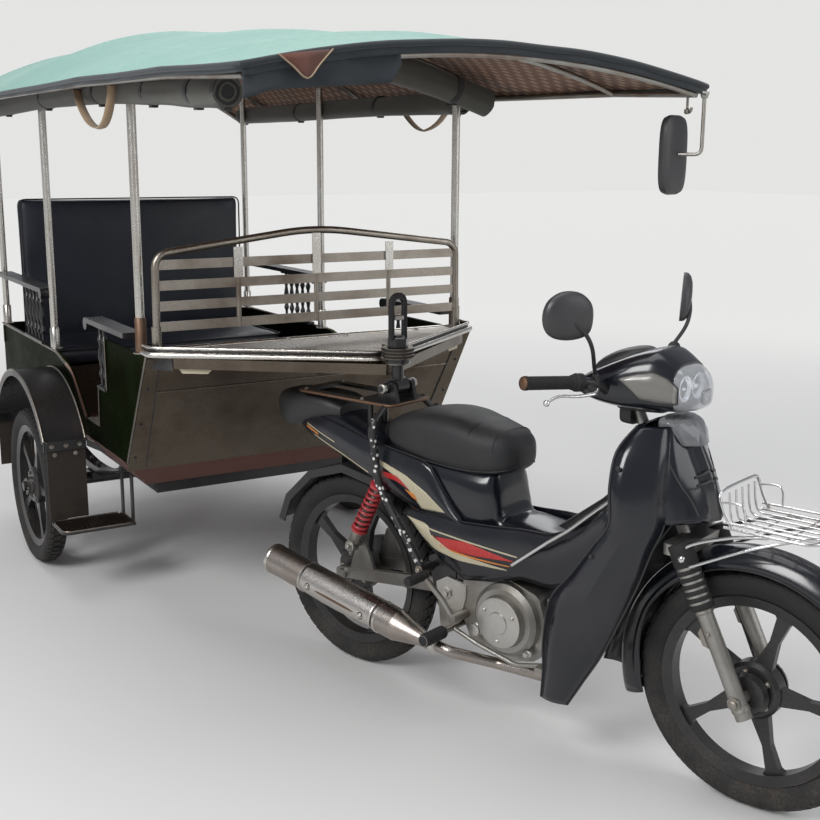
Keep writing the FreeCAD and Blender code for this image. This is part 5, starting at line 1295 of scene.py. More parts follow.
class RICKSHAW_OT_body(bpy.types.Operator):
    """Body covers with their creases, stripes and the base of the seat"""
    bl_idname = "rickshaw.body"
    bl_label = "Body covers"

    def execute(self, context):
        core = Build("motorcycle")
        hull(core, BODY_CORE, 5, 0.55, 28)
        core.make("body_core", ["gloss"], angle=50)
        covers = Build("motorcycle")
        seams = Build("motorcycle")
        stripes = Build("motorcycle")
        for side in (-1, 1):
            for rows in (UPPER_COVER, LOWER_COVER):
                sheet = cover_rows(rows, side)
                covers.grid(sheet)
                seams.tube([row[0] for row in sheet], 0.0026, 6)
                seams.tube([row[-1] for row in sheet], 0.0020, 6)
            for rows, colour, upper, lower in STRIPES:
                stripes.grid(cover_rows(rows, side, 28, 0.0034, mm(upper), mm(lower)),
                             ("cream", "scarlet", "orange").index(colour))
        covers.make("side_covers", ["gloss"], ["body_cowls"], angle=40, thick=0.005,
                    offset=0.0)
        seams.make("side_cover_edges", ["plastic"], angle=60)
        stripes.make("side_stripes", ["cream", "scarlet", "orange"], angle=60, thick=0.0004)
        tail = Build("motorcycle")
        hull(tail, mm(((-290, 44, 704, 752, 780), (-262, 62, 688, 755, 796), (-210, 74, 690, 760, 801),
                    (-120, 80, 720, 770, 801), (-60, 76, 735, 768, 796), (-20, 60, 738, 760, 780))),
             6, 0.6, 28)
        tail.make("tail_cover", ["plastic"], angle=50)
        lamp = Build("motorcycle")
        hull(lamp, mm(((-300, 26, 712, 732, 752), (-294, 34, 706, 732, 758), (-270, 36, 704, 732, 760))),
             5, 0.5, 28)
        lamp.make("tail_lens", ["red"], ["tail_lamp"], angle=50)
        return {"FINISHED"}


# Sections of the seat and how square they are: 1 is an oval and 0 a box
SEAT_POWER = 0.62
SEAT_ROWS = mm((
    (180, 62, 722, 745, 764), (196, 92, 704, 742, 780), (240, 108, 686, 740, 800),
    (320, 113, 668, 740, 817), (400, 112, 662, 736, 817), (460, 106, 662, 730, 805),
    (500, 99, 666, 728, 797), (540, 88, 672, 726, 787), (570, 66, 682, 724, 772), (587, 36, 698, 722, 750),
))


class RICKSHAW_OT_saddle(bpy.types.Operator):
    """Long seat with its seams"""
    bl_idname = "rickshaw.saddle"
    bl_label = "Saddle"

    def execute(self, context):
        seat = Build("motorcycle")
        rows = []
        for row in smooth_rows(SEAT_ROWS, 8):
            ring = hull_ring(row, SEAT_POWER, 44)
            rows.append([(x, y + 0.0015 * noise.noise(Vector((x * 14, y * 20, z * 20))),
                          z + 0.0022 * noise.noise(Vector((x * 12, y * 16, 3)))) for x, y, z in ring])
        seat.rings(rows)
        cover = seat.make("seat_cover", ["seat"], ["seat"], angle=60)
        trim = Build("motorcycle")
        for side in (-1, 1):
            line = []
            for row in smooth_rows(SEAT_ROWS[1:], 8)[:-2]:
                z = row[2] + (row[3] - row[2]) * 0.28
                line.append((row[0], side * (section_y(row, z, SEAT_POWER) + 0.0005), z))
            trim.tube(line, 0.0022, 6)
        for place in (0.470, 0.540):
            row = table_at(SEAT_ROWS, place)
            trim.tube(hull_ring([place] + row[1:], SEAT_POWER, 44)[1:22], 0.0013, 6)
        trim.make("seat_piping", ["piping"], angle=60)
        return {"FINISHED"}


# Sections of the handlebar's cover and of its lamp, and the indicators' edges on them as x and height
COVER_POWER = 0.62
COVER_ROWS = mm((
    (796, 84, 936, 950, 962), (806, 112, 926, 952, 980), (850, 122, 912, 955, 1005),
    (905, 118, 905, 956, 1030), (955, 104, 904, 956, 1045), (985, 95, 905, 955, 1045),
    (1028, 79, 907, 954, 1018),
))
LAMP_ROWS = mm((
    (1026, 76, 909, 955, 1014), (1042, 71, 911, 955, 1006), (1056, 61, 914, 954, 992),
    (1066, 46, 919, 951, 978), (1071, 24, 928, 950, 962),
))
INDICATOR_TOP = mm(((915, 984), (950, 997), (986, 1003), (1018, 990), (1040, 968)))
INDICATOR_FOOT = mm(((915, 980), (943, 956), (959, 939), (1000, 933), (1040, 932)))


class RICKSHAW_OT_cockpit(bpy.types.Operator):
    """Handlebar cover with its lamp, indicators, grips, levers and mirrors"""
    bl_idname = "rickshaw.cockpit"
    bl_label = "Cockpit"

    def execute(self, context):
        cover = Build("steering")
        hull(cover, COVER_ROWS, 6, COVER_POWER, 40)
        hull(cover, mm(((800, 40, 958, 968, 975), (818, 62, 960, 985, 1008), (860, 70, 965, 995, 1033),
                     (905, 60, 975, 1005, 1043), (935, 30, 985, 1010, 1040))), 5, 0.7, 24, 1)
        hull(cover, mm(((864, 30, 897, 908, 920), (874, 46, 894, 906, 925), (930, 56, 896, 908, 925),
                     (985, 50, 899, 908, 925))), 4, 0.5, 28, 1)
        hull(cover, mm(((866, 24, 866, 890, 910), (872, 32, 858, 888, 910), (898, 30, 856, 886, 910))),
             3, 0.5, 20, 1)
        cover.make("bar_cover", ["gloss", "plastic"], ["headlight_cover"], angle=50)
        bowl = Build("steering")
        for side in (-1, 1):
            profile = [(0, 6), (4, 17), (13, 26), (24, 30), (25, 27), (14, 22), (6, 13), (4, 3)]
            bowl.lathe((1.012, side * 0.031, 0.962), (1, 0, 0), profile, 24)
            bowl.lathe((1.016, side * 0.031, 0.962), (1, 0, 0), [(0, 4), (16, 4), (20, 2)], 10)
        bowl.make("lamp_reflectors", ["reflector"], angle=50)
        glass = Build("steering")
        rings = [hull_ring(row, COVER_POWER, 40) for row in smooth_rows(LAMP_ROWS, 5)]
        glass.rings(rings, caps=False)
        glass.grid([rings[-1], [(rings[-1][0][0] + 0.001, 0.0, 0.95)] * 40], wrap=True)
        glass.make("headlamp_lens", ["lens"], ["headlight"], angle=60, thick=0.002, offset=0.0)
        sides = Build("steering")
        frames = Build("steering")
        for side in (-1, 1):
            rows = []
            for i in range(21):
                x = 0.916 + (1.039 - 0.916) * i / 20
                high = table_at(INDICATOR_TOP, x)[1]
                low = table_at(INDICATOR_FOOT, x)[1]
                section = table_at(COVER_ROWS if x < 1.027 else LAMP_ROWS, x)
                row = []
                for k in range(7):
                    z = low + (high - low) * k / 6
                    out = section_y(section, z, COVER_POWER) + 0.002 + 0.006 * math.sin(math.pi * k / 6)
                    row.append(Vector((x, side * out, z)))
                rows.append(row)
            sides.grid(rows)
            frames.tube([row[0] for row in rows] + [row[-1] for row in rows[::-1]], 0.0016, 6, closed=True)
        sides.make("indicator_lenses", ["indicator"], angle=60, thick=0.001, offset=0.0)
        frames.make("indicator_frames", ["plastic"], angle=60)
        self.bar()
        self.mirrors()
        return {"FINISHED"}

    def bar(self):
        x = 0.890
        tubes = Build("steering")
        soft = Build("steering")
        metal = Build("steering")
        rusty = Build("steering")
        tubes.tube(spline([(x - 0.080, -0.335, 0.990), (x - 0.022, -0.172, 0.976),
                           (x - 0.004, -0.070, 0.928), (x, 0, 0.922), (x - 0.004, 0.070, 0.928),
                           (x - 0.022, 0.172, 0.976), (x - 0.080, 0.335, 0.990)], 8), 0.011, 14)
        tubes.lathe((x + 0.012, 0, 0.892), (-0.443, 0, 0.896), [(0, 17), (34, 17), (36, 14)], 20)
        for side in (-1, 1):
            outer = Vector((x - 0.082, side * 0.340, 0.990))
            inner = Vector((x - 0.036, side * 0.212, 0.9795))
            run = outer - inner
            length = run.length * 1000
            step = (length - 20) / 22
            profile = [(0, 17.5), (6, 17.5), (8, 15)]
            profile += ribs(10, step, 22, ((0, 14.6), (step * 0.3, 15.4), (step * 0.7, 15.4), (step, 14.6)))
            profile += [(length - 8, 16.2), (length, 16)]
            soft.lathe(inner, run, profile, 20)
            rusty.lathe(outer, run, [(0, 15), (3, 15), (6, 11)], 16)
            housing = inner - run.normalized() * 0.026
            soft.lathe(housing, run, [(0, 15), (4, 21), (22, 21), (26, 17.5)], 18)
            perch = Vector((x - 0.020, side * 0.186, 0.972))
            soft.lathe(perch, (0.9, side * 0.2, -0.25), [(0, 8), (30, 8), (34, 6)], 12)
            metal.tube(spline([(x + 0.010, side * 0.186, 0.965), (x + 0.020, side * 0.215, 0.962),
                               (x + 0.004, side * 0.255, 0.960), (x - 0.020, side * 0.295, 0.962),
                               (x - 0.034, side * 0.318, 0.950)], 6), 0.0055, 10,
                       radii=[0.0060 - 0.0022 * k / 24 for k in range(24)] + [0.0072], flat=0.75)
            metal.lathe((x - 0.034, side * 0.318, 0.950), (-0.3, side * 0.6, -0.4),
                        [(-4, 4), (0, 7.2), (5, 7.2), (9, 3)], 12)
        tubes.make("bar_tube", ["plastic"], ["handlebar"], angle=50)
        soft.make("bar_grips", ["rubber"], angle=40)
        metal.make("bar_levers", ["chrome"], angle=50)
        rusty.make("bar_ends", ["rusty"], angle=50)

    def mirrors(self):
        shells = Build("steering")
        glass = Build("steering")
        stems = Build("steering")
        outline = mm(((-50, -40), (-60, -5), (-52, 30), (-22, 52), (18, 54), (50, 36), (62, 6),
                   (56, -26), (34, -46), (-10, -52)))
        blade = mm(((-52, -52), (-50, -12), (-36, 20), (-6, 46), (40, 56), (60, 40), (60, 4),
                 (46, -26), (14, -46), (-24, -56)))
        turn = math.radians(27)
        for side, shape in ((-1, outline), (1, blade)):
            centre = Vector((0.866, side * 0.262, 1.134))
            normal = Vector((math.cos(turn), side * math.sin(turn), -0.05)).normalized()
            right = Vector((0, 0, 1)).cross(normal).normalized()
            up = normal.cross(right)
            line = spline([(0, a * side, b) for a, b in shape], 5, closed=True)
            spots = [(p.y, p.z) for p in line]

            def ring(scale, depth):
                return [centre + right * (a * scale) + up * (b * scale) + normal * depth for a, b in spots]

            shells.rings([ring(0.93, -0.004), ring(1.0, -0.004), ring(1.01, 0.002), ring(0.98, 0.008),
                          ring(0.86, 0.015), ring(0.6, 0.020), ring(0.25, 0.022)])
            glass.rings([ring(0.93, -0.0050), ring(0.90, -0.0052)])
            foot = Vector((0.874, side * 0.150, 0.984))
            line = spline([foot, (0.882, side * 0.172, 1.010), (0.900, side * 0.214, 1.062),
                           (0.898, side * 0.240, 1.096), centre + normal * 0.016
                           + Vector((0.004, -side * 0.004, -0.012))], 6)
            stems.tube(line, 0.0048, 10)
            stems.lathe(foot + Vector((0, 0, -0.014)), (0.1, side * 0.3, 1),
                        [(0, 11), (12, 11), (14, 8), (24, 8), (26, 6)], 6)
        shells.make("mirror_shells", ["mirror_shell"], ["bar_mirrors"], angle=40)
        glass.make("mirror_glasses", ["mirror"], angle=50)
        stems.make("mirror_stems", ["plastic"], angle=50)


class RICKSHAW_OT_front_end(bpy.types.Operator):
    """Front fender, fork trim and the wire carrier"""
    bl_idname = "rickshaw.front_end"
    bl_label = "Front end"

    def execute(self, context):
        hub = Vector((WHEELBASE, 0, WHEEL_RADIUS))
        shell = Build("steering")
        edges = Build("steering")
        rows = []
        for i in range(67):
            degrees = -4 + 200 * i / 66
            angle = math.radians(degrees)
            out = Vector((math.cos(angle), 0, math.sin(angle)))
            tail = max(0.0, (degrees - 150) / 46)
            nose = max(0.0, (14 - degrees) / 18)
            half = 0.048 * (1 - 0.10 * tail ** 2) * (1 - 0.35 * nose ** 2)
            depth = 0.042 + 0.022 * min(1.0, tail * 1.5) - 0.016 * nose
            crown = 0.018 - 0.004 * nose
            row = []
            for k in range(-8, 9):
                t = k / 8
                y = half * math.copysign(abs(t) ** 0.72, t) + math.copysign(0.002 * abs(t), t)
                up = crown - depth * abs(t) ** 2.8 + 0.004 * (1 - abs(t)) ** 2
                row.append(hub + out * (0.317 + up) + Vector((0, y, 0)))
            rows.append(row)
        shell.grid(rows)
        for k in (0, -1):
            edges.tube([row[k] for row in rows], 0.0022, 6)
        tip = [rows[-1][k] for k in range(17)]
        point = hub + Vector((math.cos(math.radians(198)), 0, math.sin(math.radians(198)))) * 0.340
        middle = [[p, p.lerp(point, 0.5) + Vector((0, 0, -0.004)), p.lerp(point, 0.96)] for p in tip]
        shell.grid([[line[k] for line in middle] for k in range(3)])
        shell.make("front_fender_shell", ["gloss"], ["front_fender"], angle=60,
                   thick=0.003, offset=0.0)
        edges.make("front_fender_edges", ["plastic"], angle=60)
        self.fork()
        self.carrier()
        return {"FINISHED"}

    def fork(self):
        boots = Build("steering")
        metal = Build("steering")
        cable = Build("steering")
        for side in (-1, 1):
            y = side * 0.088
            low = Vector((fork_x(0.478), y, 0.478))
            high = Vector((fork_x(0.618), y, 0.618))
            run = high - low
            length = run.length * 1000
            profile = [(0, 21), (3, 27)] + ribs(8, 16, 6, ((0, 28.5), (6, 28.5), (9, 25.5), (13, 25.5)))
            profile += [(108, 29), (length, 29), (length + 3, 24)]
            boots.lathe(low, run, profile, 24)
            foot = Vector((fork_x(0.262), y, 0.262))
            along = run.normalized()
            metal.lathe(foot, along, [(0, 16), (3, 21.5), (12, 21.5), (16, 19.5)], 20)
            seal = Vector((fork_x(0.470), y, 0.470))
            metal.lathe(seal, along, [(0, 19.5), (2, 21.5), (10, 21.5), (12, 19.5)], 20)
            metal.lathe((WHEELBASE, side * 0.104, WHEEL_RADIUS), (0, side, 0),
                        [(0, 17), (6, 17), (7, 11), (14, 11), (16, 8)], 6)
            ahead = Vector((along.z, 0, -along.x))
            boss = Vector((fork_x(0.400), y, 0.400)) + ahead * -0.020
            back = ahead * 0.012
            lug = [boss, boss + along * 0.05, boss + along * 0.04 - back, boss + along * 0.01 - back]
            metal.prism(lug, (0, side * 0.006, 0))
            metal.bolt(Vector((fork_x(0.430), y + side * 0.0195, 0.430)), (0, side, 0), 0.004)
        path = spline([(WHEELBASE - 0.035, 0.066, 0.330), (WHEELBASE - 0.075, 0.078, 0.400),
                       (fork_x(0.46) - 0.026, 0.088, 0.460), (fork_x(0.56) - 0.034, 0.086, 0.560),
                       (fork_x(0.62) - 0.040, 0.070, 0.625)], 8)
        cable.tube(path, 0.0030, 8)
        boots.make("fork_boots", ["rubber"], angle=40)
        metal.make("fork_fittings", ["zinc"], angle=40)
        cable.make("brake_cable_run", ["plastic"], angle=60)
        brake = Build("steering")
        brake.lathe((WHEELBASE, 0.052, WHEEL_RADIUS), (0, -1, 0), [(0, 30), (3, 60), (12, 62), (14, 58)], 28)
        brake.lathe((WHEELBASE, -0.054, WHEEL_RADIUS), (0, 1, 0), [(0, 26), (4, 44), (18, 50)], 28)
        brake.make("front_drum", ["wheel"], angle=35)

    def carrier(self):
        wires = Build("steering")
        x0, x1 = WHEELBASE - 0.056, WHEELBASE + 0.153
        z0 = 0.682

        def loop(points, radius=0.0035, steps=5, closed=False):
            wires.tube(spline(points, steps, closed), radius, 8, closed=closed)

        for half, z in ((0.096, z0), (0.100, z0 + 0.013)):
            loop([(x0, -half, z), (x1 - 0.05, -half, z), (x1 - 0.012, -half + 0.012, z),
                  (x1, -half + 0.045, z), (x1, 0, z), (x1, half - 0.045, z), (x1 - 0.012, half - 0.012, z),
                  (x1 - 0.05, half, z), (x0, half, z)])
        for y in (-0.064, -0.032, 0.0, 0.032, 0.064):
            loop([(x0 - 0.006, y, z0 + 0.070), (x0, y, z0 + 0.020), (x0 + 0.014, y, z0 + 0.001),
                  (x0 + 0.05, y, z0), (x1 - 0.02, y, z0), (x1 - 0.002, y, z0 + 0.012)], 0.0026)
        for x in (x0 + 0.07, x0 + 0.14):
            loop([(x, -0.097, z0), (x, 0, z0 - 0.002), (x, 0.097, z0)], 0.0026)
        loop([(x0 + 0.02, -0.098, z0), (x0 + 0.002, -0.099, z0 + 0.03), (x0 - 0.012, -0.099, z0 + 0.066),
              (x0 - 0.014, -0.080, z0 + 0.078), (x0 - 0.014, 0, z0 + 0.080),
              (x0 - 0.014, 0.080, z0 + 0.078), (x0 - 0.012, 0.099, z0 + 0.066),
              (x0 + 0.002, 0.099, z0 + 0.03), (x0 + 0.02, 0.098, z0)])
        for side in (-1, 1):
            loop([(x0 + 0.05, side * 0.097, z0 + 0.012), (x0 + 0.046, side * 0.100, z0 + 0.050),
                  (x0 + 0.030, side * 0.101, z0 + 0.060), (x0 - 0.008, side * 0.100, z0 + 0.056)], 0.0026)
            ear = fork_x(0.585) + 0.004
            loop([(x0 + 0.10, side * 0.090, z0 - 0.004), (x0 + 0.02, side * 0.096, z0 - 0.020),
                  (fork_x(0.600) + 0.020, side * 0.100, 0.622), (ear, side * 0.114, 0.592)], 0.0048)
            loop([(x0 + 0.16, side * 0.060, z0 - 0.004), (x0 + 0.06, side * 0.090, z0 - 0.040),
                  (fork_x(0.560) + 0.012, side * 0.112, 0.578)], 0.0040)
            wires.lathe((ear, side * 0.108, 0.592), (0, side, 0), [(0, 9), (8, 9), (11, 6)], 6)
        wires.make("carrier_wires", ["chrome"], ["wire_carrier"], angle=60)


class RICKSHAW_OT_drive(bpy.types.Operator):
    """Springs, silencer, engine trim and foot rubbers of the motorcycle"""
    bl_idname = "rickshaw.drive"
    bl_label = "Engine and rear end"

    def execute(self, context):
        self.springs()
        self.silencer()
        self.engine()
        self.rack()
        return {"FINISHED"}

    def springs(self):
        coils = Build("motorcycle")
        metal = Build("motorcycle")
        for side in (-1, 1):
            low = Vector((0.066, side * 0.104, 0.392))
            run = Vector((0.130, 0, 0.248)).normalized()
            across = Vector((0, 1, 0))
            up = run.cross(across)
            turns = 8.5
            count = int(turns * 16)
            line = []
            for k in range(count + 1):
                share = k / count
                angle = 2 * math.pi * turns * share
                line.append(on_circle(low + run * (0.066 + 0.150 * share), across, up, 0.0195, angle))
            coils.tube(line, 0.0042, 8)
            coils.lathe(low + run * 0.058, run, [(0, 20), (2, 24.5), (8, 24.5), (10, 19)], 24)
            coils.lathe(low + run * 0.214, run, [(0, 19), (2, 24.5), (10, 24.5), (14, 18)], 24)
            damper = [(0, 8), (12, 10), (20, 16.5), (62, 16.5), (64, 12), (150, 12), (152, 6.5), (262, 6.5)]
            metal.lathe(low, run, damper, 20)
            eye = [(0, 13), (2, 16.5), (26, 16.5), (28, 13)]
            metal.lathe(low + Vector((0, side * -0.014, 0)), (0, side, 0), eye, 20)
            metal.bolt(low + Vector((0, side * 0.014, 0)), (0, side, 0), 0.008)
        coils.make("spring_coils", ["spring"], ["rear_shocks"], angle=50)
        metal.make("spring_dampers", ["zinc"], angle=40)

    def silencer(self):
        back = Vector((-0.182, -0.172, 0.314))
        run = Vector((0.482, 0, -0.078))
        length = run.length
        along = run.normalized()
        across = Vector((0, -1, 0))
        up = along.cross(across)
        shield = Build("motorcycle")
        rows = []
        for i in range(41):
            at = 0.150 + 0.275 * i / 40
            wide = 0.62 + 0.16 * math.sin(math.pi * min(1.0, i / 34))
            radius = 0.0475
            rows.append([on_circle(back + along * at, across, up, radius, wide * (k / 6) * 1.3 - 0.35)
                         for k in range(-6, 7)])
        shield.grid(rows, 0)
        shield.make("heat_shield", ["stainless_heat"], angle=60, thick=0.0016, offset=0.0)
        trim = Build("motorcycle")
        trim.lathe(back - along * 0.012, along, [(0, 16), (1, 30), (6, 42.5), (10, 45.2), (18, 45.2),
                                                 (20, 44.2)], 32)
        for at in (0.140, 0.430):
            trim.lathe(back + along * at, along, [(0, 44), (1, 46.2), (7, 46.2), (8, 44)], 32)
        for at in (0.185, 0.390):
            trim.bolt(back + along * at + across * 0.0478, across, 0.0052)
        trim.lathe(back + along * (length + 0.120), along, [(0, 19), (2, 22.5), (16, 22.5), (18, 18)], 24)
        trim.make("silencer_bands", ["bright"], angle=40)
        dark = Build("motorcycle")
        dark.lathe(back - along * 0.013, along, [(0, 10), (4, 14), (4.5, 12)], 24)
        slot = []
        for i in range(17):
            half = 0.075 * math.sqrt(max(0.0, 1 - (i / 8 - 1) ** 4))
            middle = back + along * (0.290 + 0.0095 * (i - 8))
            slot.append([on_circle(middle, across, up, 0.0486, a) for a in (-half, 0, half)])
        dark.grid(slot, 1)
        for at in (0.185, 0.390):
            dark.lathe(back + along * at + across * 0.0472, across, [(0, 10.5), (1, 10.5)], 20)
        dark.make("silencer_holes", ["plastic", "rusty"], angle=60)

    def engine(self):
        metal = Build("motorcycle")
        dark = Build("motorcycle")
        centre = Vector((0.603, -0.102, 0.312))
        metal.bolt_ring(centre + Vector((0, 0.001, 0)), -1, 0.088, 9, 0.0048, 0.2)
        metal.lathe(centre + Vector((0, -0.024, 0)), (0, -1, 0), [(0, 62), (2, 66), (6, 66), (8, 60), (9, 30),
                                                                  (12, 28), (13, 12)], 36)
        metal.bolt_ring(centre + Vector((0, -0.031, 0)), -1, 0.050, 3, 0.0045, 0.5)
        metal.lathe((0.512, -0.084, 0.262), (0, -1, 0), [(0, 20), (20, 20), (24, 16), (30, 16), (32, 10)], 20)
        metal.lathe((0.674, -0.096, 0.238), (0, -1, 0), [(0, 12), (6, 12), (8, 7), (16, 7)], 6)
        for side in (-1, 1):
            rows = mm([(380, 226), (362, 353), (400, 376), (463, 366), (463, 332), (440, 242)])
            metal.prism([(x, side * 0.079, z) for x, z in rows], (0, side * 0.008, 0))
            metal.lathe((0.400, side * 0.086, 0.330), (0, side, 0), [(0, 17), (6, 17), (7, 10), (14, 10)], 6)
            metal.bolt((0.424, side * 0.087, 0.262), (0, side, 0), 0.006)
        for k in range(7):
            at = 0.704 + 0.0115 * k
            metal.block((at, -0.062, 0.262), (at + 0.003, 0.062, 0.384))
        metal.lathe((0.800, -0.046, 0.330), (0, -1, 0), [(0, 30), (10, 30), (14, 24)], 24)
        dark.lathe((0.732, 0, 0.395), (0.2, 0, 1), [(0, 22), (20, 22), (30, 28), (60, 28), (62, 20)], 18)
        dark.tube(spline(mm([(800, -40, 350), (790, -70, 400), (740, -76, 440), (660, -60, 455)]), 6),
                  0.0045, 8)
        for side in (-1, 1):
            profile = [(0, 15.5), (3, 17.5)] + ribs(5, 8.5, 9, ((0, 15.8), (3, 17.8), (6, 17.8)))
            profile += [(83, 15.8), (85, 12)]
            dark.lathe((0.440, side * 0.152, 0.250), (0, side, 0), profile, 20)
        profile = [(0, 11.5)] + ribs(4, 8, 8, ((0, 11.8), (3, 13.5), (6, 13.5))) + [(74, 11.5)]
        dark.lathe((0.384, -0.160, 0.396), (0, -1, 0), profile, 18)
        metal.make("engine_fittings", ["bright_alloy"], angle=35)
        dark.make("engine_rubbers", ["rubber"], angle=40)

    def rack(self):
        strut = Build("motorcycle")
        for side, number in ((-1, 0), (1, 1)):
            line = sided(side, (178, 128, 780), (180, 139, 744), (192, 140, 660), (212, 140, 590),
                         (355, 140, 404))
            strut.tube(spline(line, 8), 0.0104, 14, number=number)
        strut.make("rack_struts", ["speckled", "black"], angle=50)
        edge = Build("motorcycle")
        corners = mm([(-165, -85), (196, -85), (196, 85), (-165, 85)])
        line = rounded([(x, y, 0.810) for x, y in corners], 0.026, closed=True)
        edge.tube(line, 0.0046, 8, closed=True)
        edge.make("rack_edge", ["rusty"], angle=60)
        fit = Build("motorcycle")
        for x, y in mm(((-140, -74), (-140, 74), (80, -74), (80, 74))):
            fit.bolt((x, y, 0.814), (0, 0, 1), 0.005)
        for side in (-1, 1):
            fit.bolt((0.355, side * 0.151, 0.400), (0, side, 0), 0.008)
            fit.lathe((0.146, side * 0.058, 0.850), (0, side, 0), [(0, 15), (10, 15), (12, 12)], 6)
        fit.make("rack_bolts", ["zinc"], angle=40)


# A guard is an arc about the axle: its radius, first and last angle, inner and outer edge
GUARD = (0.430, 34, 152, 0.560, 0.705)


def panel_x(z):
    """Distance of the sloping front panel's face ahead of the axle at a height."""
    return 0.766 + 0.6055 * (z - 0.450)


class RICKSHAW_OT_guards(bpy.types.Operator):
    """Rolled edges, angle irons, steps and nuts at the carriage's wheels, with a painted highlight along each
    strap's top edge
    """
    bl_idname = "rickshaw.guards"
    bl_label = "Guards"

    def execute(self, context):
        radius, first, last, inner, outer = GUARD
        edges = Build("carriage")
        irons = Build("carriage")
        bolts = Build("carriage")
        plates = Build("carriage")
        for side in (-1, 1):
            for y in (inner + 0.002, outer - 0.002):
                arc = [math.radians(first + (last - first) * k / 40) for k in range(41)]
                edges.tube([(radius * math.cos(a), side * y, WHEEL_RADIUS + radius * math.sin(a))
                            for a in arc], 0.0042, 8)
            near, far = side * (outer - 0.003), side * (inner + 0.003)
            irons.prism([(0.3650, near, 0.494), (0.3650, near, 0.531), (0.3900, near, 0.531),
                         (0.3900, near, 0.528), (0.3685, near, 0.528), (0.3685, near, 0.494)],
                        (0, far - near, 0))
            irons.prism([(0.372, far, 0.502), (0.440, side * 0.452, 0.446), (0.440, side * 0.452, 0.470),
                         (0.372, far, 0.528)], (0.004, 0, 0))
            # Worn-stainless rod along the strap's top edge: a painted highlight where light catches that edge
            edges.tube([(0.374, far, 0.5285), (0.442, side * 0.452, 0.4705)], 0.0022, 6)
            for y in (0.585, 0.632, 0.680):
                bolts.bolt((0.3685, side * y, 0.511), (1, 0, 0), 0.0055)
            for y in (0.600, 0.670):
                bolts.bolt((0.364, side * y, 0.480), (1, 0, 0), 0.005)
            loop = sided(side, (372, 452, 248.6), (514, 452, 248.6), (514, 691, 248.6), (372, 691, 248.6))
            lip = rounded(loop, 0.030, closed=True)
            plates.prism(lip, (0, 0, 0.0014))
            edges.tube([p + Vector((0, 0, 0.001)) for p in lip], 0.0030, 6, closed=True)
            for x in (0.405, 0.443, 0.481):
                plates.tube([(x, side * 0.470, 0.2502), (x, side * 0.672, 0.2502)], 0.0022, 6, flat=0.6)
            for x in (-0.045, 0.045):
                bolts.bolt((x, side * 0.430, 0.350), (0, side, 0), 0.007)
        edges.make("guard_edges_and_strap_highlights", ["worn"], angle=60)
        irons.make("guard_irons", ["black"], bevel=0.0008)
        bolts.make("guard_bolts", ["zinc"], angle=40)
        plates.make("step_plates", ["stainless"], angle=40)
        for side, name in ((-1, "right"), (1, "left")):
            hub = Build("carriage_wheel_" + name)
            hub.lathe((0, side * 0.6905, WHEEL_RADIUS), (0, side, 0), [(0, 13.5), (6, 13.5), (9, 11)], 6)
            hub.bolt_ring((0, side * 0.690, WHEEL_RADIUS), side, 0.027, 5, 0.0035)
            hub.make("hub_nuts_" + name, ["bright"], angle=40)
        return {"FINISHED"}


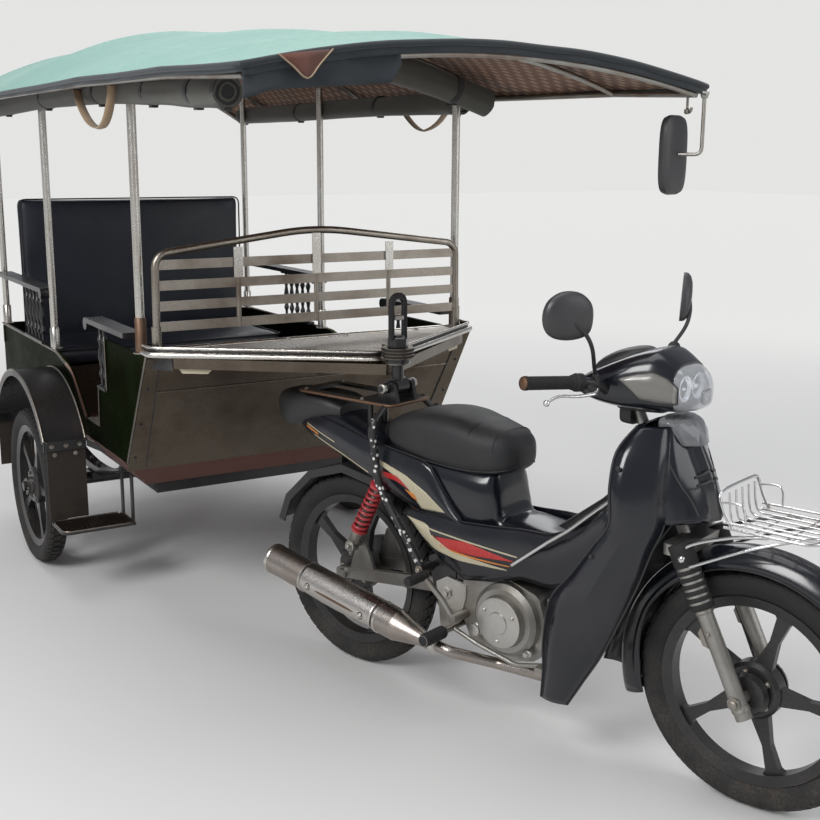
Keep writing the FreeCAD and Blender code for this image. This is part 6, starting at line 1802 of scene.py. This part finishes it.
class RICKSHAW_OT_trims(bpy.types.Operator):
    """Edge strips of the tub and deck, sleeves, gussets and struts"""
    bl_idname = "rickshaw.trims"
    bl_label = "Trims"

    def execute(self, context):
        self.tub()
        self.deck()
        self.mirror()
        self.collars()
        self.wire()
        return {"FINISHED"}

    def tub(self):
        tinted = Build("carriage")
        plain = Build("carriage")
        dark = Build("carriage")
        for side in (-1, 1):
            y = side * 0.561
            front = rounded([(0.150, y, 0.751), (0.235, y, 0.730), (0.385, y, 0.602)], 0.035)
            tinted.tube(front, 0.0030, 10, flat=3.6)
            rear = rounded([(-0.822, y, 0.700), (-0.822, y, 0.779), (0.030, y, 0.779), (0.150, y, 0.751)],
                           0.02)
            plain.tube(rear, 0.0028, 8, flat=1.6)
            plain.block((0.388, min(side * 0.500, y), 0.6005), (0.537, max(side * 0.500, y), 0.6035))
            for inset in (0.512, 0.528, 0.544):
                plain.tube([(0.390, side * inset, 0.6040), (0.535, side * inset, 0.6040)], 0.0022, 6)
            quarter = rounded([(0.541, y, 0.604), (0.549, y, 0.737), (0.640, y, 0.737), (0.640, y, 0.902)],
                              0.010)
            plain.tube(quarter, 0.0028, 8, flat=1.7)
            corners = [(panel_x(z) + 0.0005, side * half, z)
                       for half, z in mm(((558, 512), (558, 900), (520, 900), (500, 512)))]
            tinted.prism(corners, (0.0017, 0, -0.0010), 1)
            ends = ((0.500, 0.514), (0.520, 0.899))
            dark.tube([(panel_x(z) + 0.002, side * (half - 0.002), z) for half, z in ends], 0.0020, 6)
            for z in (0.56, 0.68, 0.80):
                dark.bolt((panel_x(z) + 0.002, side * 0.540, z), (0.855, 0, -0.518), 0.0038)
        plain.tube([(panel_x(0.786) + 0.001, -0.512, 0.786), (panel_x(0.786) + 0.001, 0.512, 0.786)],
                   0.0016, 6)
        tinted.make("tub_strips", ["copper", "stainless"], angle=50)
        plain.make("tub_edges", ["worn"], angle=50)
        dark.make("tub_seams", ["black"], angle=40)

    def deck(self):
        rail = Build("carriage")
        corners = mm([(990, -552), (1049, -552), (1432, -26), (1432, 26), (1049, 552), (990, 552)])
        outline = rounded([(x, y, 0.934) for x, y in corners], 0.025)
        rail.tube(outline, 0.0045, 8)
        for y, high in ((-0.2585, 1.2100), (0.0, 1.2440), (0.2585, 1.2100)):
            rail.block((1.017, y - 0.014, 1.120), (1.0205, y + 0.014, high))
        rail.make("deck_rail", ["bright"], angle=50)
        slot = Build("carriage")
        slot.grid([[p + Vector((0, 0, -0.002)), p + Vector((0, 0, -0.014))] for p in outline])
        slot.make("deck_rail_web", ["black"], thick=0.002, angle=50)
        fit = Build("carriage")
        for side in (-1, 1):
            thickness = (-0.003, side * 0.002, 0)
            gusset = sided(side, (1079, 495, 904), (1167, 376, 904), (1140, 412, 860), (1097, 471, 860))
            fit.prism(gusset, thickness, 1)
            block = sided(side, (1012, 548, 904), (1079, 495, 904), (1079, 495, 866), (1012, 548, 866))
            fit.prism(block, thickness)
            for y in (0.10, 0.36):
                fit.bolt((1.020, side * y, 0.9195), (0, 0, 1), 0.006, 2)
            for x, y, foot in mm(((959, 546, 905.5), (-35, 546, 780.5), (-809, 546, 780.5))):
                height = 105 if x > 0 else 78
                fit.lathe((x, side * y, foot), (0, 0, 1), [(0, 16.8), (height - 4, 16.8), (height, 14)], 20,
                          3 if x > 0 else 4)
                fit.lathe((x, side * y, foot), (0, 0, 1), [(0, 24), (3, 24), (4, 21)], 20, 2)
        fit.make("deck_fittings", ["black", "beige", "zinc", "rusty", "bright"], angle=45)

    def mirror(self):
        """Driver's mirror on its rod, with the clamp and the coat hook."""
        middle = Matrix.Translation((1.918, 0.606, 1.480))
        head = Build("carriage", CAR @ middle @ Matrix.Rotation(math.radians(15), 4, "Z"))
        rows = []
        for depth, scale in ((-0.013, 0.90), (-0.011, 0.97), (-0.002, 1.0), (0.006, 0.96), (0.011, 0.82),
                             (0.013, 0.55)):
            rows.append([(depth, 0.058 * scale * math.copysign(abs(math.cos(a)) ** 0.45, math.cos(a)),
                          0.103 * scale * math.copysign(abs(math.sin(a)) ** 0.55, math.sin(a)))
                         for a in (2 * math.pi * (k + 0.5) / 44 for k in range(44))])
        head.rings(rows)
        glass = [(-0.0134, y * 0.90, z * 0.93) for _, y, z in rows[0]]
        head.add(glass, [tuple(range(len(glass)))], 1)
        head.make("roof_mirror_head", ["mirror_shell", "mirror"], ["roof_mirror"], angle=40)
        arm = Build("carriage")
        arm.tube(rounded(mm([(1976, 648, 1640), (1976, 648, 1482), (1926, 612, 1482)]), 0.018), 0.005, 10)
        arm.lathe((1.976, 0.648, 1.624), (0, 0, 1), [(0, 8), (10, 11), (14, 11)], 16)
        arm.block((1.916, 0.620, 1.636), (1.986, 0.656, 1.641))
        arm.tube(rounded(mm([(1932, 632, 1636), (1932, 632, 1592), (1946, 632, 1588), (1948, 632, 1602)]),
                         0.010), 0.0035, 8)
        arm.lathe((1.932, 0.632, 1.600), (0, 0, -1), [(0, 4), (3, 8), (12, 8), (15, 4)], 14)
        arm.make("roof_mirror_arm", ["zinc"], angle=45)

    def wire(self):
        """Lamp wire that hangs in a loop from the deck's underside."""
        spots = mm([(1300, -166, 903.5), (1301, -164, 885), (1302, -152, 869), (1301, -128, 862),
                 (1299, -102, 868), (1298, -88, 885), (1298, -86, 903.5)])
        line = spline(spots, 8)
        build = Build("carriage")
        build.tube(line, 0.0025, 8)
        lead = build.make("lamp_wire", ["rubber"], angle=60)

    def collars(self):
        """Shims, collars and bolt heads stacked on the coupling's post."""
        stack = Build("coupling")
        x = 0.146
        stack.lathe((x, 0, 0.9126), (0, 0, 1), [(0, 34), (3.5, 35.5), (4.5, 34)], 28, 1)
        for z in (0.935, 0.944, 0.953):
            stack.lathe((x, 0, z - 0.003), (0, 0, 1), [(0, 44), (1.5, 46.5), (4.5, 46.5), (6, 44)], 32)
        stack.lathe((x, 0, 0.9835), (0, 0, 1), [(0, 20), (3, 20), (4, 17)], 24, 1)
        stack.lathe((x, 0, 1.034), (0, 0, 1), [(0, 12), (2, 16.5), (12, 16.5), (14, 12)], 6, 1)
        stack.tube(rounded([(x, -0.027, 0.982), (x, -0.027, 1.101), (x, 0.027, 1.101), (x, 0.027, 0.982)],
                           0.026, 6), 0.0085, 12)
        stack.make("coupling_collars", ["rubber", "zinc"], angle=40)


class RICKSHAW_PT_panel(bpy.types.Panel):
    """Lists the sizes, colours and pieces"""
    bl_idname = "RICKSHAW_PT_panel"
    bl_label = "Rickshaw"
    bl_space_type = "VIEW_3D"
    bl_region_type = "UI"
    bl_category = "Rickshaw"

    def draw(self, context):
        for group in (context.scene.rickshaw_sizes, context.scene.rickshaw_colours):
            for name in group.__annotations__:
                self.layout.prop(group, name)
        for operator in OPERATORS:
            self.layout.operator(operator.bl_idname)


OPERATORS = (
    RICKSHAW_OT_stage,
    RICKSHAW_OT_finishes,
    RICKSHAW_OT_canopy,
    RICKSHAW_OT_curtains,
    RICKSHAW_OT_cushions,
    RICKSHAW_OT_tyres,
    RICKSHAW_OT_shield,
    RICKSHAW_OT_body,
    RICKSHAW_OT_saddle,
    RICKSHAW_OT_cockpit,
    RICKSHAW_OT_front_end,
    RICKSHAW_OT_drive,
    RICKSHAW_OT_guards,
    RICKSHAW_OT_trims,
)
CLASSES = (RickshawSizes, RickshawColours, RICKSHAW_PT_panel) + OPERATORS


def register():
    for cls in CLASSES:
        bpy.utils.register_class(cls)
    bpy.types.Scene.rickshaw_sizes = bpy.props.PointerProperty(type=RickshawSizes)
    bpy.types.Scene.rickshaw_colours = bpy.props.PointerProperty(type=RickshawColours)


def unregister():
    del bpy.types.Scene.rickshaw_colours
    del bpy.types.Scene.rickshaw_sizes
    for cls in reversed(CLASSES):
        bpy.utils.unregister_class(cls)


def main():
    register()
    for operator in OPERATORS:
        group, name = operator.bl_idname.split(".")
        result = getattr(getattr(bpy.ops, group), name)()
        if "FINISHED" not in result:
            raise RuntimeError(f"{operator.bl_label} did not finish")


if __name__ == "__main__":
    main()
